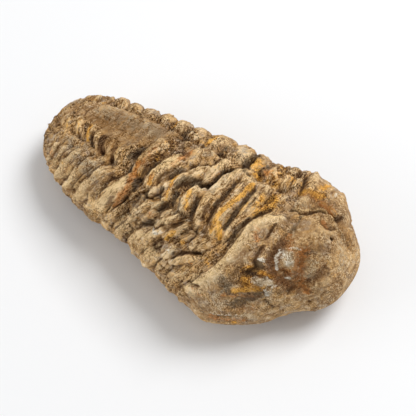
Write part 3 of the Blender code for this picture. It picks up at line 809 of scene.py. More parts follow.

# %% Umber stain, and painted shade: many of its strokes lie along the carved furrows and cracks
UMBER_AND_PAINTED_SHADE = [
    (2.4, 0.45, [(23.6, 20), (25.8, 24), (29.0, 25)]),
    (1.8, 0.4, [(12.6, 26), (18.6, 20), (19.6, 2)]),
    (1.3, 0.35, [(12.2, -4), (13.2, -20)]),
    (0.9, 0.9, [(-21.8, -8), (-20.8, -19)]),
    (0.5, 0.9, [(-17.8, -11), (-17.0, -25)]),
    (0.5, 0.8, [(-15.4, -22), (-15.0, -25)]),
    (0.7, 0.7, [(-14.6, -33), (-14.3, -45)]),
    (0.5, 0.7, [(-24.7, -9), (-24.2, -17)]),
    (0.5, 0.6, [(-31.2, 8), (-30.6, 0)]),
    (0.5, 0.6, [(-28.8, -14), (-28.2, -20)]),
    (0.6, 0.8, [(-11.6, -50), (-12.4, -62)]),
    (1.2, 0.6, [(-5.8, -38), (-7.2, -52)]),
    (0.4, 0.6, [(-19.6, -47), (-18.4, -32)]),
    (0.6, 0.7, [(-3.8, 3.2), (-1.8, 3.4)]),
    (0.7, 0.8, [(9.2, -14), (10.0, -22)]),
    (0.9, 0.9, [(3.8, -53), (2.4, -65)]),
    (0.5, 0.4, [(11.0, -27), (14.0, -29), (17.8, -23)]),
    (0.4, 0.7, [(13.2, -41), (10.8, -46), (9.2, -50), (7.8, -59)]),
    (0.3, 0.5, [(12.8, -66), (11.2, -78)]),
    (0.3, 0.7, [(13.0, -66.5), (16.4, -59.5)]),
    (0.35, 1.0, [(23.1, -5), (23.3, -13)]),
    (0.5, 1.0, [(23.5, -19), (23.8, -30)]),
    (1.0, 0.5, [(31.0, -18), (31.8, -30), (33.0, -46)]),
    (1.7, 0.7, [(26.4, -13), (26.4, -25), (27.6, -33), (30.0, -41), (31.8, -50), (32.8, -57)]),
    (1.2, 0.6, [(35.8, -18), (35.4, -30), (34.6, -48)]),
    (0.5, 0.8, [(32.0, 22), (32.2, 35)]),
    (0.4, 0.7, [(27.3, 40), (27.4, 36)]),
    (0.6, 0.6, [(19.2, 46), (18.8, 36)]),
    (0.5, 0.6, [(21.4, 40), (22.4, 27)]),
    (0.5, 0.5, [(-27.2, 34), (-26.8, 30)]),
    (0.4, 0.6, [(32.2, -58), (32.4, -64)]),
    (0.4, 0.5, [(29.0, -62), (30.8, -76)]),
    (0.4, 0.9, [(36.0, -73), (36.0, -75)]),
    (5.0, 0.22, [(-23.0, 8), (-16.0, 6)]),
    (4.0, 0.32, [(22.0, -50), (27.0, -75)]),
    (0.5, 0.75, [(23.4, -38.5), (26.0, -40.5), (28.6, -41.5)]),
    (0.6, 0.65, [(22.6, -58), (25.4, -56.5), (28.6, -53.5)]),
    (0.5, 0.6, [(22.8, -47), (24.4, -48.5), (25.4, -50.5)]),
    (0.3, 1.0, [(33.2, 4.0), (33.4, 4.0)]),
    (3.5, 0.35, [(28.0, 20), (33.0, 26)]),
    (5.0, 0.16, [(-4.0, -40), (6.0, -35)]),
]
print("strokes of umber:", len(UMBER_AND_PAINTED_SHADE))

# %% Grey stain
GREY = [
    (5.0, 0.45, [(-28.0, -30), (-20.0, -38)]),
    (3.5, 0.55, [(-27.0, 12), (-12.0, 12)]),
    (0.9, 0.45, [(8.4, 14), (8.3, -8)]),
    (1.0, 0.5, [(0.6, 9), (1.8, 13)]),
    (1.6, 0.5, [(24.0, 11), (25.6, 12)]),
    (1.4, 0.6, [(28.6, -18), (30.0, -26)]),
    (1.5, 0.6, [(33.2, -20), (34.0, -38)]),
    (2.5, 0.45, [(34.0, 16), (37.0, 2)]),
    (2.0, 0.4, [(17.0, -72), (20.0, -60)]),
    (1.5, 0.5, [(20.5, -50), (22.5, -56)]),
    (1.0, 0.5, [(5.6, 45), (7.0, 28)]),
    (3.0, 0.3, [(3.0, -78), (8.0, -80)]),
    (3.5, 0.3, [(36.0, -50), (38.0, -75)]),
    (1.6, 0.4, [(-34.0, -60), (-33.0, -78)]),
]
print("strokes of grey:", len(GREY))

# %% Pale strokes: paler stone on edges and crests, partly a painted highlight there, and painted light on the near lower flank
PALE_AND_PAINTED_LIGHT = [
    # The two wide strokes are painted light on the near lower flank, which the key lamp lights less
    (5.5, 0.42, [(-30.0, -62), (-14.0, -66), (4.0, -72)]),
    (4.0, 0.3, [(-6.0, -64), (12.0, -66)]),
    (0.7, 0.6, [(12.2, -80), (13.8, -65), (16.6, -54), (18.2, -42), (18.6, -28), (18.9, -12), (20.8, -3),
                (23.0, 0)]),
    (1.4, 0.45, [(18.6, -16), (18.8, -40)]),
    (0.9, 0.55, [(15.2, -50), (14.3, -58), (13.6, -64)]),
    (0.4, 0.8, [(27.6, 13.5), (29.2, 18), (30.8, 17)]),
    (0.3, 0.8, [(24.2, 8.5), (26.0, 9), (27.0, 13), (28.4, 17.5), (30.4, 20.5)]),
    (1.0, 0.8, [(-3.6, -1), (-4.8, -10), (-5.6, -16)]),
    (0.8, 0.4, [(-3.0, -22), (-3.8, -28), (-3.6, -34)]),
    (0.9, 0.75, [(-11.0, -34), (-12.8, -44), (-14.2, -52)]),
    (0.7, 0.6, [(-10.1, -1), (-9.9, -12)]),
    (1.6, 0.5, [(-14.0, -60), (-16.0, -74), (-19.0, -80)]),
    (0.4, 0.6, [(-18.6, -62), (-17.7, -76)]),
    (0.6, 0.6, [(-16.9, -8), (-16.2, -20)]),
    (0.7, 0.5, [(-24.0, -8), (-22.8, -10)]),
    (0.7, 0.5, [(-0.6, -31), (-0.6, -35)]),
    (0.7, 0.5, [(13.0, -31), (12.6, -37)]),
    (0.6, 0.5, [(5.3, 36), (5.6, 22)]),
    (0.9, 0.5, [(5.2, 17), (5.7, 8)]),
    (0.6, 0.5, [(12.6, 17), (12.3, 6)]),
    (0.7, 0.4, [(15.9, 12), (15.9, -2)]),
    (0.6, 0.4, [(16.2, -6), (16.2, -20)]),
    (2.0, 0.3, [(30.0, -66), (35.0, -78)]),
    (2.4, 0.35, [(-22.0, 38), (-6.0, 38), (6.0, 36)]),
    (2.2, 0.28, [(-4.0, -42), (5.0, -44)]),
    (0.9, 0.4, [(-2.0, -70), (4.0, -84)]),
    (0.8, 0.35, [(-35.0, 5), (-32.0, 22)]),
]
print("pale edges:", len(PALE_AND_PAINTED_LIGHT))

# %% Cream crystals
CREAM = [
    (0.22, 1.0, [(26.8, -17), (27.0, -24), (27.9, -29), (28.7, -32.5)]),
    (0.2, 0.9, [(28.2, -14), (29.0, -12.5), (30.2, -13)]),
    (0.2, 0.8, [(30.6, -28.5), (29.6, -26)]),
    (1.2, 0.65, [(28.2, -19), (29.6, -25)]),
    (0.35, 0.95, [(24.4, -27), (25.4, -28)]),
    (0.7, 0.95, [(25.7, -43), (26.8, -45)]),
    (0.6, 0.85, [(27.2, -42), (28.5, -44)]),
    (0.5, 0.7, [(28.6, -46), (29.6, -48.5)]),
    (0.7, 0.55, [(28.2, -50), (29.2, -56)]),
    (0.35, 0.8, [(31.0, -42), (31.5, -43)]),
    (0.25, 0.55, [(19.6, -78.5), (22.0, -79.5), (25.6, -79)]),
    (0.5, 0.6, [(28.0, 41), (28.2, 37)]),
    (0.7, 0.4, [(-3.2, 13), (-3.0, 16)]),
    (0.6, 0.35, [(-6.0, 2.5), (-5.6, -2)]),
    (0.5, 0.6, [(1.0, -51.5), (2.2, -50.5), (3.0, -48)]),
    (1.0, 0.35, [(6.9, -51), (5.8, -60)]),
]
print("strokes of cream:", len(CREAM))

# %% How strongly each kind of stain, or of painted light and shade, lies at each point, 0 to 1
STAINS_AND_PAINTED_LIGHT = {
    "grey": GREY,
    "ochre": OCHRE,
    "rust": RUST,
    "umber_and_painted_shade": UMBER_AND_PAINTED_SHADE,
    "charcoal_and_painted_shade": CHARCOAL_AND_PAINTED_SHADE,
    "pale_and_painted_light": PALE_AND_PAINTED_LIGHT,
    "cream": CREAM,
}
STAIN_SPREAD = 1.15


def stroke_strength(strokes):
    """The strongest stroke of one kind of stain, or of painted light and shade, at each point."""
    strength = np.zeros_like(along)
    for half_width, most, points in strokes:
        strength = np.maximum(strength, most * wall(half_width * STAIN_SPREAD, points))
    return strength


stains_and_painted_light = {name: stroke_strength(strokes) for name, strokes in STAINS_AND_PAINTED_LIGHT.items()}
print("share that each stain covers:", {name: round(stains_and_painted_light[name].mean(), 3) for name in STAINS_AND_PAINTED_LIGHT})

# %% [markdown]
# ## Paler and darker areas
#
# Wide parts of the stone are lighter or darker than the rest, with no edge. Some of it is the stone's own
# tone, such as the bleached broken pieces, and some is painted light and shade: the near lower flank, which
# the key lamp lights less, is painted paler, and the hollows of the head are painted darker. Noise would put
# such areas anywhere, so they are strokes too, but wide ones, and they add up where they cross.

# %% Areas of paler (+) and darker (-) stone, some of them painted light and shade: change, half width, and the places each runs through
TONES_AND_PAINTED_LIGHT = [
    (0.2, 5.0, [(-27, -86), (-22, -84), (-12, -80)]),
    (-0.3, 3.0, [(-36, -72), (-35, -88)]),
    (0.25, 3.0, [(-36.5, -20), (-36.5, -50)]),
    (0.15, 4.0, [(6, -84), (10, -84)]),
    (-0.2, 2.5, [(-2, -80), (2, -80)]),
    (0.35, 1.8, [(-9.6, -34), (-11, -50), (-12.5, -62)]),
    (-0.1, 5.0, [(-30, -45), (-18, -50)]),
    (0.35, 2.4, [(1.6, -40), (2.0, -62), (6.0, -55)]),
    (0.30, 1.4, [(-2.0, -27), (-2.4, -34)]),
    (0.45, 2.6, [(14, -46), (14, -62), (9, -66)]),
    (-0.06, 2.4, [(19, -36), (22.4, -41)]),
    (0.05, 1.8, [(9, 12), (8.8, -12)]),
    (0.25, 1.6, [(13.2, 10), (13.4, -14)]),
    (0.25, 4.0, [(10, 32), (19, 32)]),
    (-0.35, 2.8, [(25.0, 17), (33.4, 24)]),
    (-0.60, 2.2, [(25.0, -39), (27.6, -45)]),
    (-0.30, 3.0, [(33.5, -10), (34.5, -54)]),
    (-0.34, 3.2, [(30, 6), (30, -22)]),
    (-0.25, 2.5, [(34, 17), (34, 25)]),
    (-0.40, 2.0, [(13, -79), (18, -80)]),
    (-0.30, 1.8, [(-27.4, 0), (-23, 1)]),
    (-0.58, 4.5, [(-24, 6), (-8, 12)]),
    (-0.30, 2.2, [(-22, 31), (-6, 31)]),
    (-0.30, 2.4, [(-18, -8), (-8, -12)]),
    (-0.25, 1.5, [(5.8, -8), (6.2, -13)]),
    (-0.25, 1.8, [(-6, -46), (-6, -54)]),
    (-0.15, 5.0, [(28, 36), (34, 40)]),
    (0.2, 2.0, [(22, 6), (22, 12)]),
    (0.55, 5.0, [(-4, -50), (6, -48)]),
    (0.62, 4.0, [(-10, 38), (8, 36)]),
    (0.1, 5.0, [(2, -8), (14, -6)]),
]
tone = sum(change * wall(half_width, points) for change, half_width, points in TONES_AND_PAINTED_LIGHT)
print("paler and darker areas: from", round(tone.min(), 2), "to", round(tone.max(), 2))

# %% [markdown]
# ## The base mesh
#
# The base mesh is the smooth body, before any relief. It carries what the next steps need as attributes:
# which way is out, the rib phase, the carving and the stains. They could be worked out again in each
# node tree, but attributes travel with the points through Geometry Nodes and into the material.

# %% Join the rows of points into one closed mesh


def closed_mesh(name, points):
    """Four-sided faces between the rows, and a fan at each end."""
    row_count, column_count = points.shape[:2]
    ends = np.stack([points[0].mean(axis=0), points[-1].mean(axis=0)])
    vertices = np.concatenate([points.reshape(-1, 3), ends]) * MM
    grid = np.arange(row_count * column_count).reshape(row_count, column_count)
    following = np.roll(grid, -1, axis=1)
    quads = np.stack([grid[:-1], grid[1:], following[1:], following[:-1]], axis=-1).reshape(-1, 4)
    tail, head = len(vertices) - 2, len(vertices) - 1
    fans = [(tail, a, b) for a, b in zip(grid[0], following[0])]
    fans += [(head, b, a) for a, b in zip(grid[-1], following[-1])]
    mesh = bpy.data.meshes.new(name)
    mesh.from_pydata(vertices.tolist(), [], quads.tolist() + fans)
    return mesh


base = closed_mesh("base_body", smooth_body)
print("base mesh:", len(base.vertices), "points,", len(base.polygons), "faces")

# %% Where the relief fades out: under the belly and at both ends
BELLY_FADE = (92, 120)
TAIL_FADE, HEAD_FADE = 1.6, 3.0

on_back = 1 - smooth_step(np.abs(turned), *BELLY_FADE)
end_fade = smooth_step(HALF_LENGTH - np.abs(along), 0.0, np.where(along < 0, TAIL_FADE, HEAD_FADE))
print("faded share of the surface:", round(1 - float((on_back * end_fade).mean()), 2))

# %% How strongly each rib stands: less where the furrows crowd, and less toward the tail
RIB_PITCH = 4.2
MOST_STRENGTH = 1.15
TAIL_RIBS_FADE = (-38, -31)

room = np.zeros_like(along)
for number in range(len(FURROWS) - 1):
    inside = (phase >= number) & (phase < number + 1)
    room[inside] = np.broadcast_to(lines[number + 1] - lines[number], along.shape)[inside]
rib_strength = np.clip(room / RIB_PITCH, 0.0, MOST_STRENGTH) * left_of_ribs * on_back
rib_strength *= smooth_step(along, *TAIL_RIBS_FADE)
print("strongest rib:", round(float(rib_strength.max()), 2))

# %% Strata: places in which every rib is straight, so that noise read there runs along the ribs
STRATA_SHARE = 0.42  # of the real distance round the body, which makes each streak longer that way
BODY_FURROWS = slice(4, 12)

sweep = lines[BODY_FURROWS].mean(axis=0)
sweep -= np.interp(0.0, column_angles, sweep)
across_ribs = STRATA_SHARE * smooth_body[..., 1:]
strata = np.concatenate([(along - sweep)[..., None], across_ribs], axis=-1) * MM
print("ribs swept, mm:", round(float(np.ptp(sweep)), 1))

# %% Store every reading on the base mesh


def store(mesh, name, values):
    """Stores one value, or one vector, for each point. The two end points take their row's mean."""
    wide = values.reshape(values.shape[0], values.shape[1], -1)
    flat = wide.reshape(-1, wide.shape[-1])
    flat = np.concatenate([flat, wide[0].mean(axis=0)[None], wide[-1].mean(axis=0)[None]])
    kind, field = ("FLOAT_VECTOR", "vector") if values.ndim == 3 else ("FLOAT", "value")
    attribute = mesh.attributes.new(name, kind, "POINT")
    attribute.data.foreach_set(field, flat.astype(np.float32).ravel())


READINGS = {
    "strata": strata,
    "outward": outward,
    "rib_phase": phase,
    "rib_strength": rib_strength,
    "carved": carved * on_back * end_fade,
    "end_fade": end_fade,
    "crumble": crumble,
    "painted_shadow_seams": painted_shadow_seams,
    "smooth_top": np.clip(on_slab, 0, 1),
    "streaked": streaked,
    "worn": worn,
    "head": on_the_head,
    "tone": tone,
    **stains_and_painted_light,
}
for name, values in READINGS.items():
    store(base, name, values)
print("readings on the mesh:", len(READINGS))

# %% [markdown]
# ## Ribs, grain and pits, by Geometry Nodes
#
# The ribs repeat along the body and the grain covers all of it, so both are made by nodes. The tree reads
# the rib phase, which counts up by one from furrow to furrow: the sine of it is an arch over each rib. A
# power below 1 makes the arch full and the furrow sharp. Noise of three sizes then adds dents, flakes and
# grains, and other noises add creases, folds, terraces, facets and pits. All heights are summed and each
# point moves outward once. Displacing in the material would look the same from afar, but the mesh that is
# kept would stay smooth.

# %% A wire: a value on its way through a node tree


class Wire:
    """Sums and products of wires add the Math nodes that work them out."""

    def __init__(self, socket):
        self.socket = socket

    def __add__(self, other):
        return maths("ADD", self, other)

    def __sub__(self, other):
        return maths("SUBTRACT", self, other)

    def __rsub__(self, other):
        return maths("SUBTRACT", other, self)

    def __mul__(self, other):
        return maths("MULTIPLY", self, other)

    def __abs__(self):
        return maths("ABSOLUTE", self)


# %% Small helpers to build node trees


def add_node(tree, kind, **settings):
    """A new node with these settings."""
    node = tree.nodes.new(kind)
    for name, value in settings.items():
        setattr(node, name, value)
    return node


def put(socket, value):
    """Links a wire to a socket, or sets the socket to a plain value."""
    if isinstance(value, Wire):
        socket.id_data.links.new(value.socket, socket)
    else:
        socket.default_value = value


def filled_node(kind, values, **settings):
    """A new node in the tree of the wires among these values, which fill its inputs by name or number."""
    tree = next(value.socket.id_data for value in values.values() if isinstance(value, Wire))
    node = add_node(tree, kind, **settings)
    for place, value in values.items():
        put(node.inputs[place], value)
    return node


# %% Arithmetic with wires


def maths(operation, *values):
    """One Math node."""
    return Wire(filled_node("ShaderNodeMath", dict(enumerate(values)), operation=operation).outputs[0])


def vector_maths(operation, *values):
    """One Vector Math node. A dot product comes out as a number, and all else as a vector."""
    node = filled_node("ShaderNodeVectorMath", dict(enumerate(values)), operation=operation)
    return Wire(node.outputs["Value" if operation == "DOT_PRODUCT" else "Vector"])


def ramp(value, low, high, to_low=0.0, to_high=1.0):
    """Maps a range to another, eased at both ends."""
    values = {"Value": value, "From Min": low, "From Max": high, "To Min": to_low, "To Max": to_high}
    return Wire(filled_node("ShaderNodeMapRange", values, interpolation_type="SMOOTHSTEP").outputs["Result"])


# Mix has its own pair of inputs, and its own output, for each kind of value.
MIX_SOCKETS = {"FLOAT": (2, 3, 0), "VECTOR": (4, 5, 1), "RGBA": (6, 7, 2)}


def blend(share, first, second, kind="FLOAT"):
    """The first value where the share is 0, and the second where it is 1."""
    a, b, result = MIX_SOCKETS[kind]
    return Wire(filled_node("ShaderNodeMix", {0: share, a: first, b: second}, data_type=kind).outputs[result])


# %% Noise with wires


def noise_node(place, scale, detail=2.0, roughness=0.5, distortion=0.0):
    """A Noise node. The scale is lumps per metre."""
    values = {"Vector": place, "Scale": scale, "Detail": detail}
    values.update({"Roughness": roughness, "Distortion": distortion})
    return filled_node("ShaderNodeTexNoise", values)


def node_noise(place, scale, **settings):
    """Noise from 0 to 1."""
    return Wire(noise_node(place, scale, **settings).outputs[0])


def stretched(place, sizes):
    """The same place with each axis made longer or shorter. A size below 1 makes the noise there longer."""
    return vector_maths("MULTIPLY", place, sizes)


def cell_node(place, scale, **settings):
    """A Voronoi node: the surface broken up into cells."""
    return filled_node("ShaderNodeTexVoronoi", {"Vector": place, "Scale": scale}, **settings)


# %% Chips: the flat-sided flakes that the stone breaks into, for the surface and for its colour
CHIP_BEND = 1.6 * MM
HALF = (0.5, 0.5, 0.5)


def chips(strata_place, scale):
    """The chip's own random vector, the way from its middle, and how near its edge is."""
    bend = vector_maths("SUBTRACT", Wire(noise_node(strata_place, scale, 2.0).outputs["Color"]), HALF)
    bent = vector_maths("MULTIPLY_ADD", bend, (CHIP_BEND, CHIP_BEND, CHIP_BEND), strata_place)
    cells = cell_node(bent, scale)
    borders = cell_node(bent, scale, feature="DISTANCE_TO_EDGE")
    own = vector_maths("SUBTRACT", Wire(cells.outputs["Color"]), HALF)
    from_middle = vector_maths("SUBTRACT", bent, Wire(cells.outputs["Position"]))
    return own, from_middle, Wire(borders.outputs["Distance"])


# %% The tree and its inputs: heights in metres, scales in lumps per metre
TREE_INPUTS = {
    "Seed": 0.0,
    "Rib height": 1.15 * MM,
    "Rib sink": 0.75 * MM,
    "Rib sharpness": 0.4,
    "Rib raggedness": 0.2,
    "Dent height": 0.55 * MM,
    "Dent scale": 1 / (3.6 * MM),
    "Flake height": 0.4 * MM,
    "Flake scale": 1 / (1.7 * MM),
    "Grain height": 0.22 * MM,
    "Grain scale": 1 / (0.95 * MM),
    "Crease depth": 0.25 * MM,
    "Crease scale": 1 / (2.4 * MM),
    "Facet height": 1.1 * MM,
    "Facet step": 0.33 * MM,
    "Facet scale": 1 / (1.9 * MM),
    "Fold height": 0.2 * MM,
    "Fold scale": 1 / (1.8 * MM),
    "Terrace height": 0.15 * MM,
    "Terrace scale": 1 / (2.6 * MM),
    "Pit depth": 0.3 * MM,
    "Pit scale": 1 / (1.4 * MM),
    "Pitted area scale": 1 / (6 * MM),
}

weather = bpy.data.node_groups.new("weathered stone", "GeometryNodeTree")
weather.interface.new_socket("Geometry", in_out="INPUT", socket_type="NodeSocketGeometry")
for name, value in TREE_INPUTS.items():
    weather.interface.new_socket(name, in_out="INPUT", socket_type="NodeSocketFloat").default_value = value
weather.interface.new_socket("Geometry", in_out="OUTPUT", socket_type="NodeSocketGeometry")
given = {socket.name: Wire(socket) for socket in add_node(weather, "NodeGroupInput").outputs}
print("inputs of the tree:", len(TREE_INPUTS))

# %% What the tree reads. Another seed shifts every place that noise is read at, and so makes another stone


def reading(name, kind="FLOAT"):
    """One of the readings that the base mesh carries."""
    node = add_node(weather, "GeometryNodeInputNamedAttribute", data_type=kind)
    node.inputs["Name"].default_value = name
    return Wire(node.outputs["Attribute"])


here = Wire(add_node(weather, "GeometryNodeInputPosition").outputs[0])
noise_place = vector_maths("ADD", here, given["Seed"])
strata_place = vector_maths("ADD", reading("strata", "FLOAT_VECTOR"), given["Seed"])
print("with the places:", len(weather.nodes), "nodes")

# %% Dents, flakes and grains: noise around 0, of three sizes


def centred(name, place):
    """Noise around 0, of the scale that the tree's input gives."""
    return node_noise(place, given[name + " scale"], detail=3, roughness=0.55) - 0.5


dent = centred("Dent", noise_place)
flake = centred("Flake", strata_place)
grain = centred("Grain", noise_place)
relief = dent * given["Dent height"] + flake * given["Flake height"] + grain * given["Grain height"]
print("with dents, flakes and grains:", len(weather.nodes), "nodes")

# %% Creases where a noise crosses its middle value, and folds along the same kind of line
CREASE_WIDTH = 0.045
FOLD_STEEPNESS, FOLD_LEVEL = 7.0, 0.4
CREASE_STRETCH, FOLD_STRETCH = (1.0, 0.6, 0.6), (1.0, 1.4, 1.4)

creased = stretched(strata_place, CREASE_STRETCH)
lines_there = node_noise(creased, given["Crease scale"], detail=3, roughness=0.6, distortion=0.4)
crease = ramp(abs(lines_there - 0.5), 0.0, CREASE_WIDTH, to_low=1.0, to_high=0.0) * given["Crease depth"]
folded = stretched(strata_place, FOLD_STRETCH)
lines_there = node_noise(folded, given["Fold scale"], detail=3, roughness=0.6, distortion=0.3)
fold = maths("MAXIMUM", 1.0 - abs(lines_there - 0.5) * FOLD_STEEPNESS, 0.0) - FOLD_LEVEL
relief = relief + (fold * given["Fold height"] - crease)
print("with creases and folds:", len(weather.nodes), "nodes")

# %% Terraces: noise cut into flat levels, with an eased step between them
LEVELS = 5.0
STEP_START, STEP_END = 0.35, 0.65

level = node_noise(strata_place, given["Terrace scale"], detail=4, roughness=0.6) * LEVELS
step = ramp(maths("FRACT", level), STEP_START, STEP_END)
relief = relief + (maths("FLOOR", level) + step - LEVELS / 2) * given["Terrace height"]
print("with terraces:", len(weather.nodes), "nodes")

# %% Pits, in some areas only
PIT_WALL = (0.05, 0.4)
PITTED_EDGE = (0.5, 0.62)

from_pit = Wire(cell_node(noise_place, given["Pit scale"]).outputs["Distance"])
pit = ramp(from_pit, *PIT_WALL, to_low=1.0, to_high=0.0)
pitted = ramp(node_noise(noise_place, given["Pitted area scale"], detail=1), *PITTED_EDGE)
relief = relief - pit * pitted * given["Pit depth"]
print("with pits:", len(weather.nodes), "nodes")

# %% Facets: each chip leans its own way and stands at its own height
FACETS_ON_SLABS = 0.75

lean, from_middle, _ = chips(strata_place, given["Facet scale"])
facet = vector_maths("DOT_PRODUCT", from_middle, lean) * given["Facet scale"] * given["Facet height"]
facet = facet + vector_maths("DOT_PRODUCT", lean, (1.0, 0.0, 0.0)) * given["Facet step"]
facet = facet * blend(reading("smooth_top"), reading("crumble"), FACETS_ON_SLABS)
print("with facets:", len(weather.nodes), "nodes")

# %% Ribs: an arch from each furrow to the next
ragged_phase = dent * given["Rib raggedness"] + reading("rib_phase")
arch = maths("POWER", abs(maths("SINE", ragged_phase * math.pi)), given["Rib sharpness"])
rib = (arch * given["Rib height"] - given["Rib sink"]) * reading("rib_strength")
print("with ribs:", len(weather.nodes), "nodes")

# %% Add the heights up, and move each point outward once, but never under the table
LOWEST = (-1.0, -1.0, 0.0)

height = reading("carved") * MM + rib + (relief * reading("crumble") + facet)
height = height * reading("end_fade")
moved = vector_maths("MULTIPLY_ADD", reading("outward", "FLOAT_VECTOR"), height, here)
lifted = vector_maths("MAXIMUM", moved, LOWEST)
print("with the move outward:", len(weather.nodes), "nodes")

# %% Store the height, move the points and set the material
stone = bpy.data.materials.new("stained limestone")
STEPS = [
    ("GeometryNodeStoreNamedAttribute", {"Name": "height", "Value": height}),
    ("GeometryNodeSetPosition", {"Position": lifted}),
    ("GeometryNodeRealizeInstances", {}),
    ("GeometryNodeSetMaterial", {"Material": stone}),
]
geometry = given["Geometry"]
for kind, values in STEPS:
    geometry = Wire(filled_node(kind, {"Geometry": geometry, **values}).outputs["Geometry"])
put(add_node(weather, "NodeGroupOutput").inputs[0], geometry)
print("nodes in the tree:", len(weather.nodes))

# %% Run the tree once and keep its result as a plain mesh
raw = bpy.data.objects.new("raw_stone", base)
bpy.context.scene.collection.objects.link(raw)
modifier = raw.modifiers.new("weather", "NODES")
modifier.node_group = weather
for socket in weather.interface.items_tree:
    if socket.name in TREE_INPUTS:
        modifier[socket.identifier] = TREE_INPUTS[socket.name]
graph = bpy.context.evaluated_depsgraph_get()
finished = bpy.data.meshes.new_from_object(raw.evaluated_get(graph))
raw.modifiers.remove(modifier)
bpy.data.objects.remove(raw)
print("weathered mesh:", len(finished.vertices), "points,", len(finished.polygons), "faces")

# %% [markdown]
# ## Crests and hollows
#
# The material paints the high places of the stone paler, as a painted highlight, and the low ones darker,
# as painted shade. A material can find sharp edges by itself, but only with nodes that not every export
# keeps. How high a place is counts for less than how high it is beside its neighbours, so the height is
# compared with its own average over a few millimetres. The difference is stored as one more attribute, for
# the material.

# %% How far each point stands over or under its surroundings
REACH_ROWS, REACH_COLUMNS = 9, 6


def blurred(values):
    """Average over a box of rows and columns. The columns go round; the rows stop at the ends."""
    total = np.zeros_like(values)
    padded = np.pad(values, ((REACH_ROWS, REACH_ROWS), (0, 0)), mode="edge")
    for shift in range(2 * REACH_ROWS + 1):
        total += padded[shift : shift + values.shape[0]]
    total /= 2 * REACH_ROWS + 1
    across = sum(np.roll(total, shift, axis=1) for shift in range(-REACH_COLUMNS, REACH_COLUMNS + 1))
    return across / (2 * REACH_COLUMNS + 1)


heights = np.zeros(len(finished.vertices), np.float32)
finished.attributes["height"].data.foreach_get("value", heights)
heights = heights[:-2].reshape(along.shape) / MM
crest = heights - blurred(heights)
store(finished, "crest", crest)
print("crest, mm: from", round(float(crest.min()), 2), "to", round(float(crest.max()), 2))

# %% The finished piece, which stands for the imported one
for face in finished.polygons:
    face.use_smooth = True

trilobite = bpy.data.objects.new("trilobite_stone", finished)
bpy.context.scene.collection.objects.link(trilobite)
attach(trilobite, "root")
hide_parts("trilobite")
print("piece:", trilobite.name)

# %% [markdown]
# ## The stone's material
#
# Brown limestone has no single colour. Broad noise mixes a warm tan with grey brown, cool and warm
# patches, the hollows get painted shade and the crests a painted highlight. A flat picture would have to be
# wrapped round the stone, and would smear over the steep sides. Noise that is read at the stone's own
# points fits any shape, so the colour is built up in coats, like thin paint.

# %% Colours of the stone
TAN = (0.56, 0.33, 0.132, 1)
BROWN = (0.27, 0.143, 0.056, 1)
BLOTCH = (0.27, 0.155, 0.075, 1)
GREY_BROWN = (0.37, 0.23, 0.108, 1)
# Painted shade for the hollows, and a painted highlight for the crests
PAINTED_HOLLOW_SHADE = (0.085, 0.036, 0.01, 1)
PAINTED_CREST_HIGHLIGHT = (0.66, 0.445, 0.22, 1)
FLECK = (0.66, 0.495, 0.295, 1)
COOL = (0.37, 0.27, 0.178, 1)
WARM = (0.5, 0.27, 0.085, 1)
# Painted shadow for the seams, the cracks and the pinhole
PAINTED_SEAM_SHADOW = (0.085, 0.042, 0.016, 1)
UMBER_VEIL = (0.14, 0.075, 0.03, 1)
print("tan, as light:", TAN[:3])

# %% What the material reads from the mesh
stone.use_nodes = True
shader = stone.node_tree
surface = shader.nodes["Principled BSDF"]


def stored(name, output="Fac"):
    """One of the readings that the finished mesh carries."""
    return Wire(add_node(shader, "ShaderNodeAttribute", attribute_name=name).outputs[output])


on_head = stored("head")
worn_down = stored("worn")
on_top = stored("streaked")
crumbly = stored("crumble")
position = Wire(add_node(shader, "ShaderNodeTexCoord").outputs["Object"])
seed = TREE_INPUTS["Seed"]
ribwise = vector_maths("ADD", stored("strata", "Vector"), (seed, seed, seed))
smooth_or_ribwise = blend(on_head, ribwise, position, "VECTOR")
print("with the readings:", len(shader.nodes), "nodes")

# %% Noise of every size, from blotches down to sand


def mottle(place, size, **settings):
    """Noise from 0 to 1 whose lumps are this many millimetres across."""
    return node_noise(place, 1 / (size * MM), **settings)


broad = mottle(position, 8, detail=3, roughness=0.55)
swirls = mottle(position, 2.6, detail=6, roughness=0.62, distortion=2.2)
bands = blend(on_head, mottle(ribwise, 1.8, detail=4, roughness=0.6, distortion=0.6), swirls)
tint = mottle(position, 3.2, detail=4, roughness=0.6, distortion=1.2)
wisps = mottle(position, 3.0, detail=7, roughness=0.7, distortion=1.8)
flecks = mottle(smooth_or_ribwise, 0.7, detail=4, roughness=0.7, distortion=0.8)
grains = mottle(position, 0.62, detail=4, roughness=0.7)
sand = mottle(position, 0.24, detail=1)
patches = mottle(position, 3.4, detail=3, roughness=0.6, distortion=0.6)
rough_patch = ramp(patches, 0.4, 0.6, to_low=0.3, to_high=1.25)
print("with every noise:", len(shader.nodes), "nodes")

# %% Fine grain: fibres along the ribs, streaks on the broken pieces, scratches on the worn patch
LENGTHWAYS, ALONG_RIBS = (0.15, 1.0, 1.0), (1.0, 0.5, 0.5)
FIBRE_SHARE, FIBRE_SHARE_IN_PATCH = 0.5, 0.8
EDGE_RAGGEDNESS = 1.3

fibres = mottle(ribwise, 0.5, detail=4, roughness=0.7, distortion=0.3)
streaks = mottle(stretched(ribwise, ALONG_RIBS), 0.45, detail=4, roughness=0.7, distortion=0.3)
scratches = mottle(stretched(position, LENGTHWAYS), 0.45, detail=4, roughness=0.7)
fibres = blend(on_top, fibres, streaks)
fibres = blend(worn_down, fibres, scratches)
fibres = blend(on_head, fibres, grains)
fine = blend(blend(worn_down, FIBRE_SHARE, FIBRE_SHARE_IN_PATCH), grains, fibres)
# How far a place stands over its neighbours, made ragged: crests get the painted highlight and hollows the
# painted shade
crest_highlight_and_shade = (fine - 0.5) * rough_patch * EDGE_RAGGEDNESS + stored("crest")
print("with the fine grain:", len(shader.nodes), "nodes")

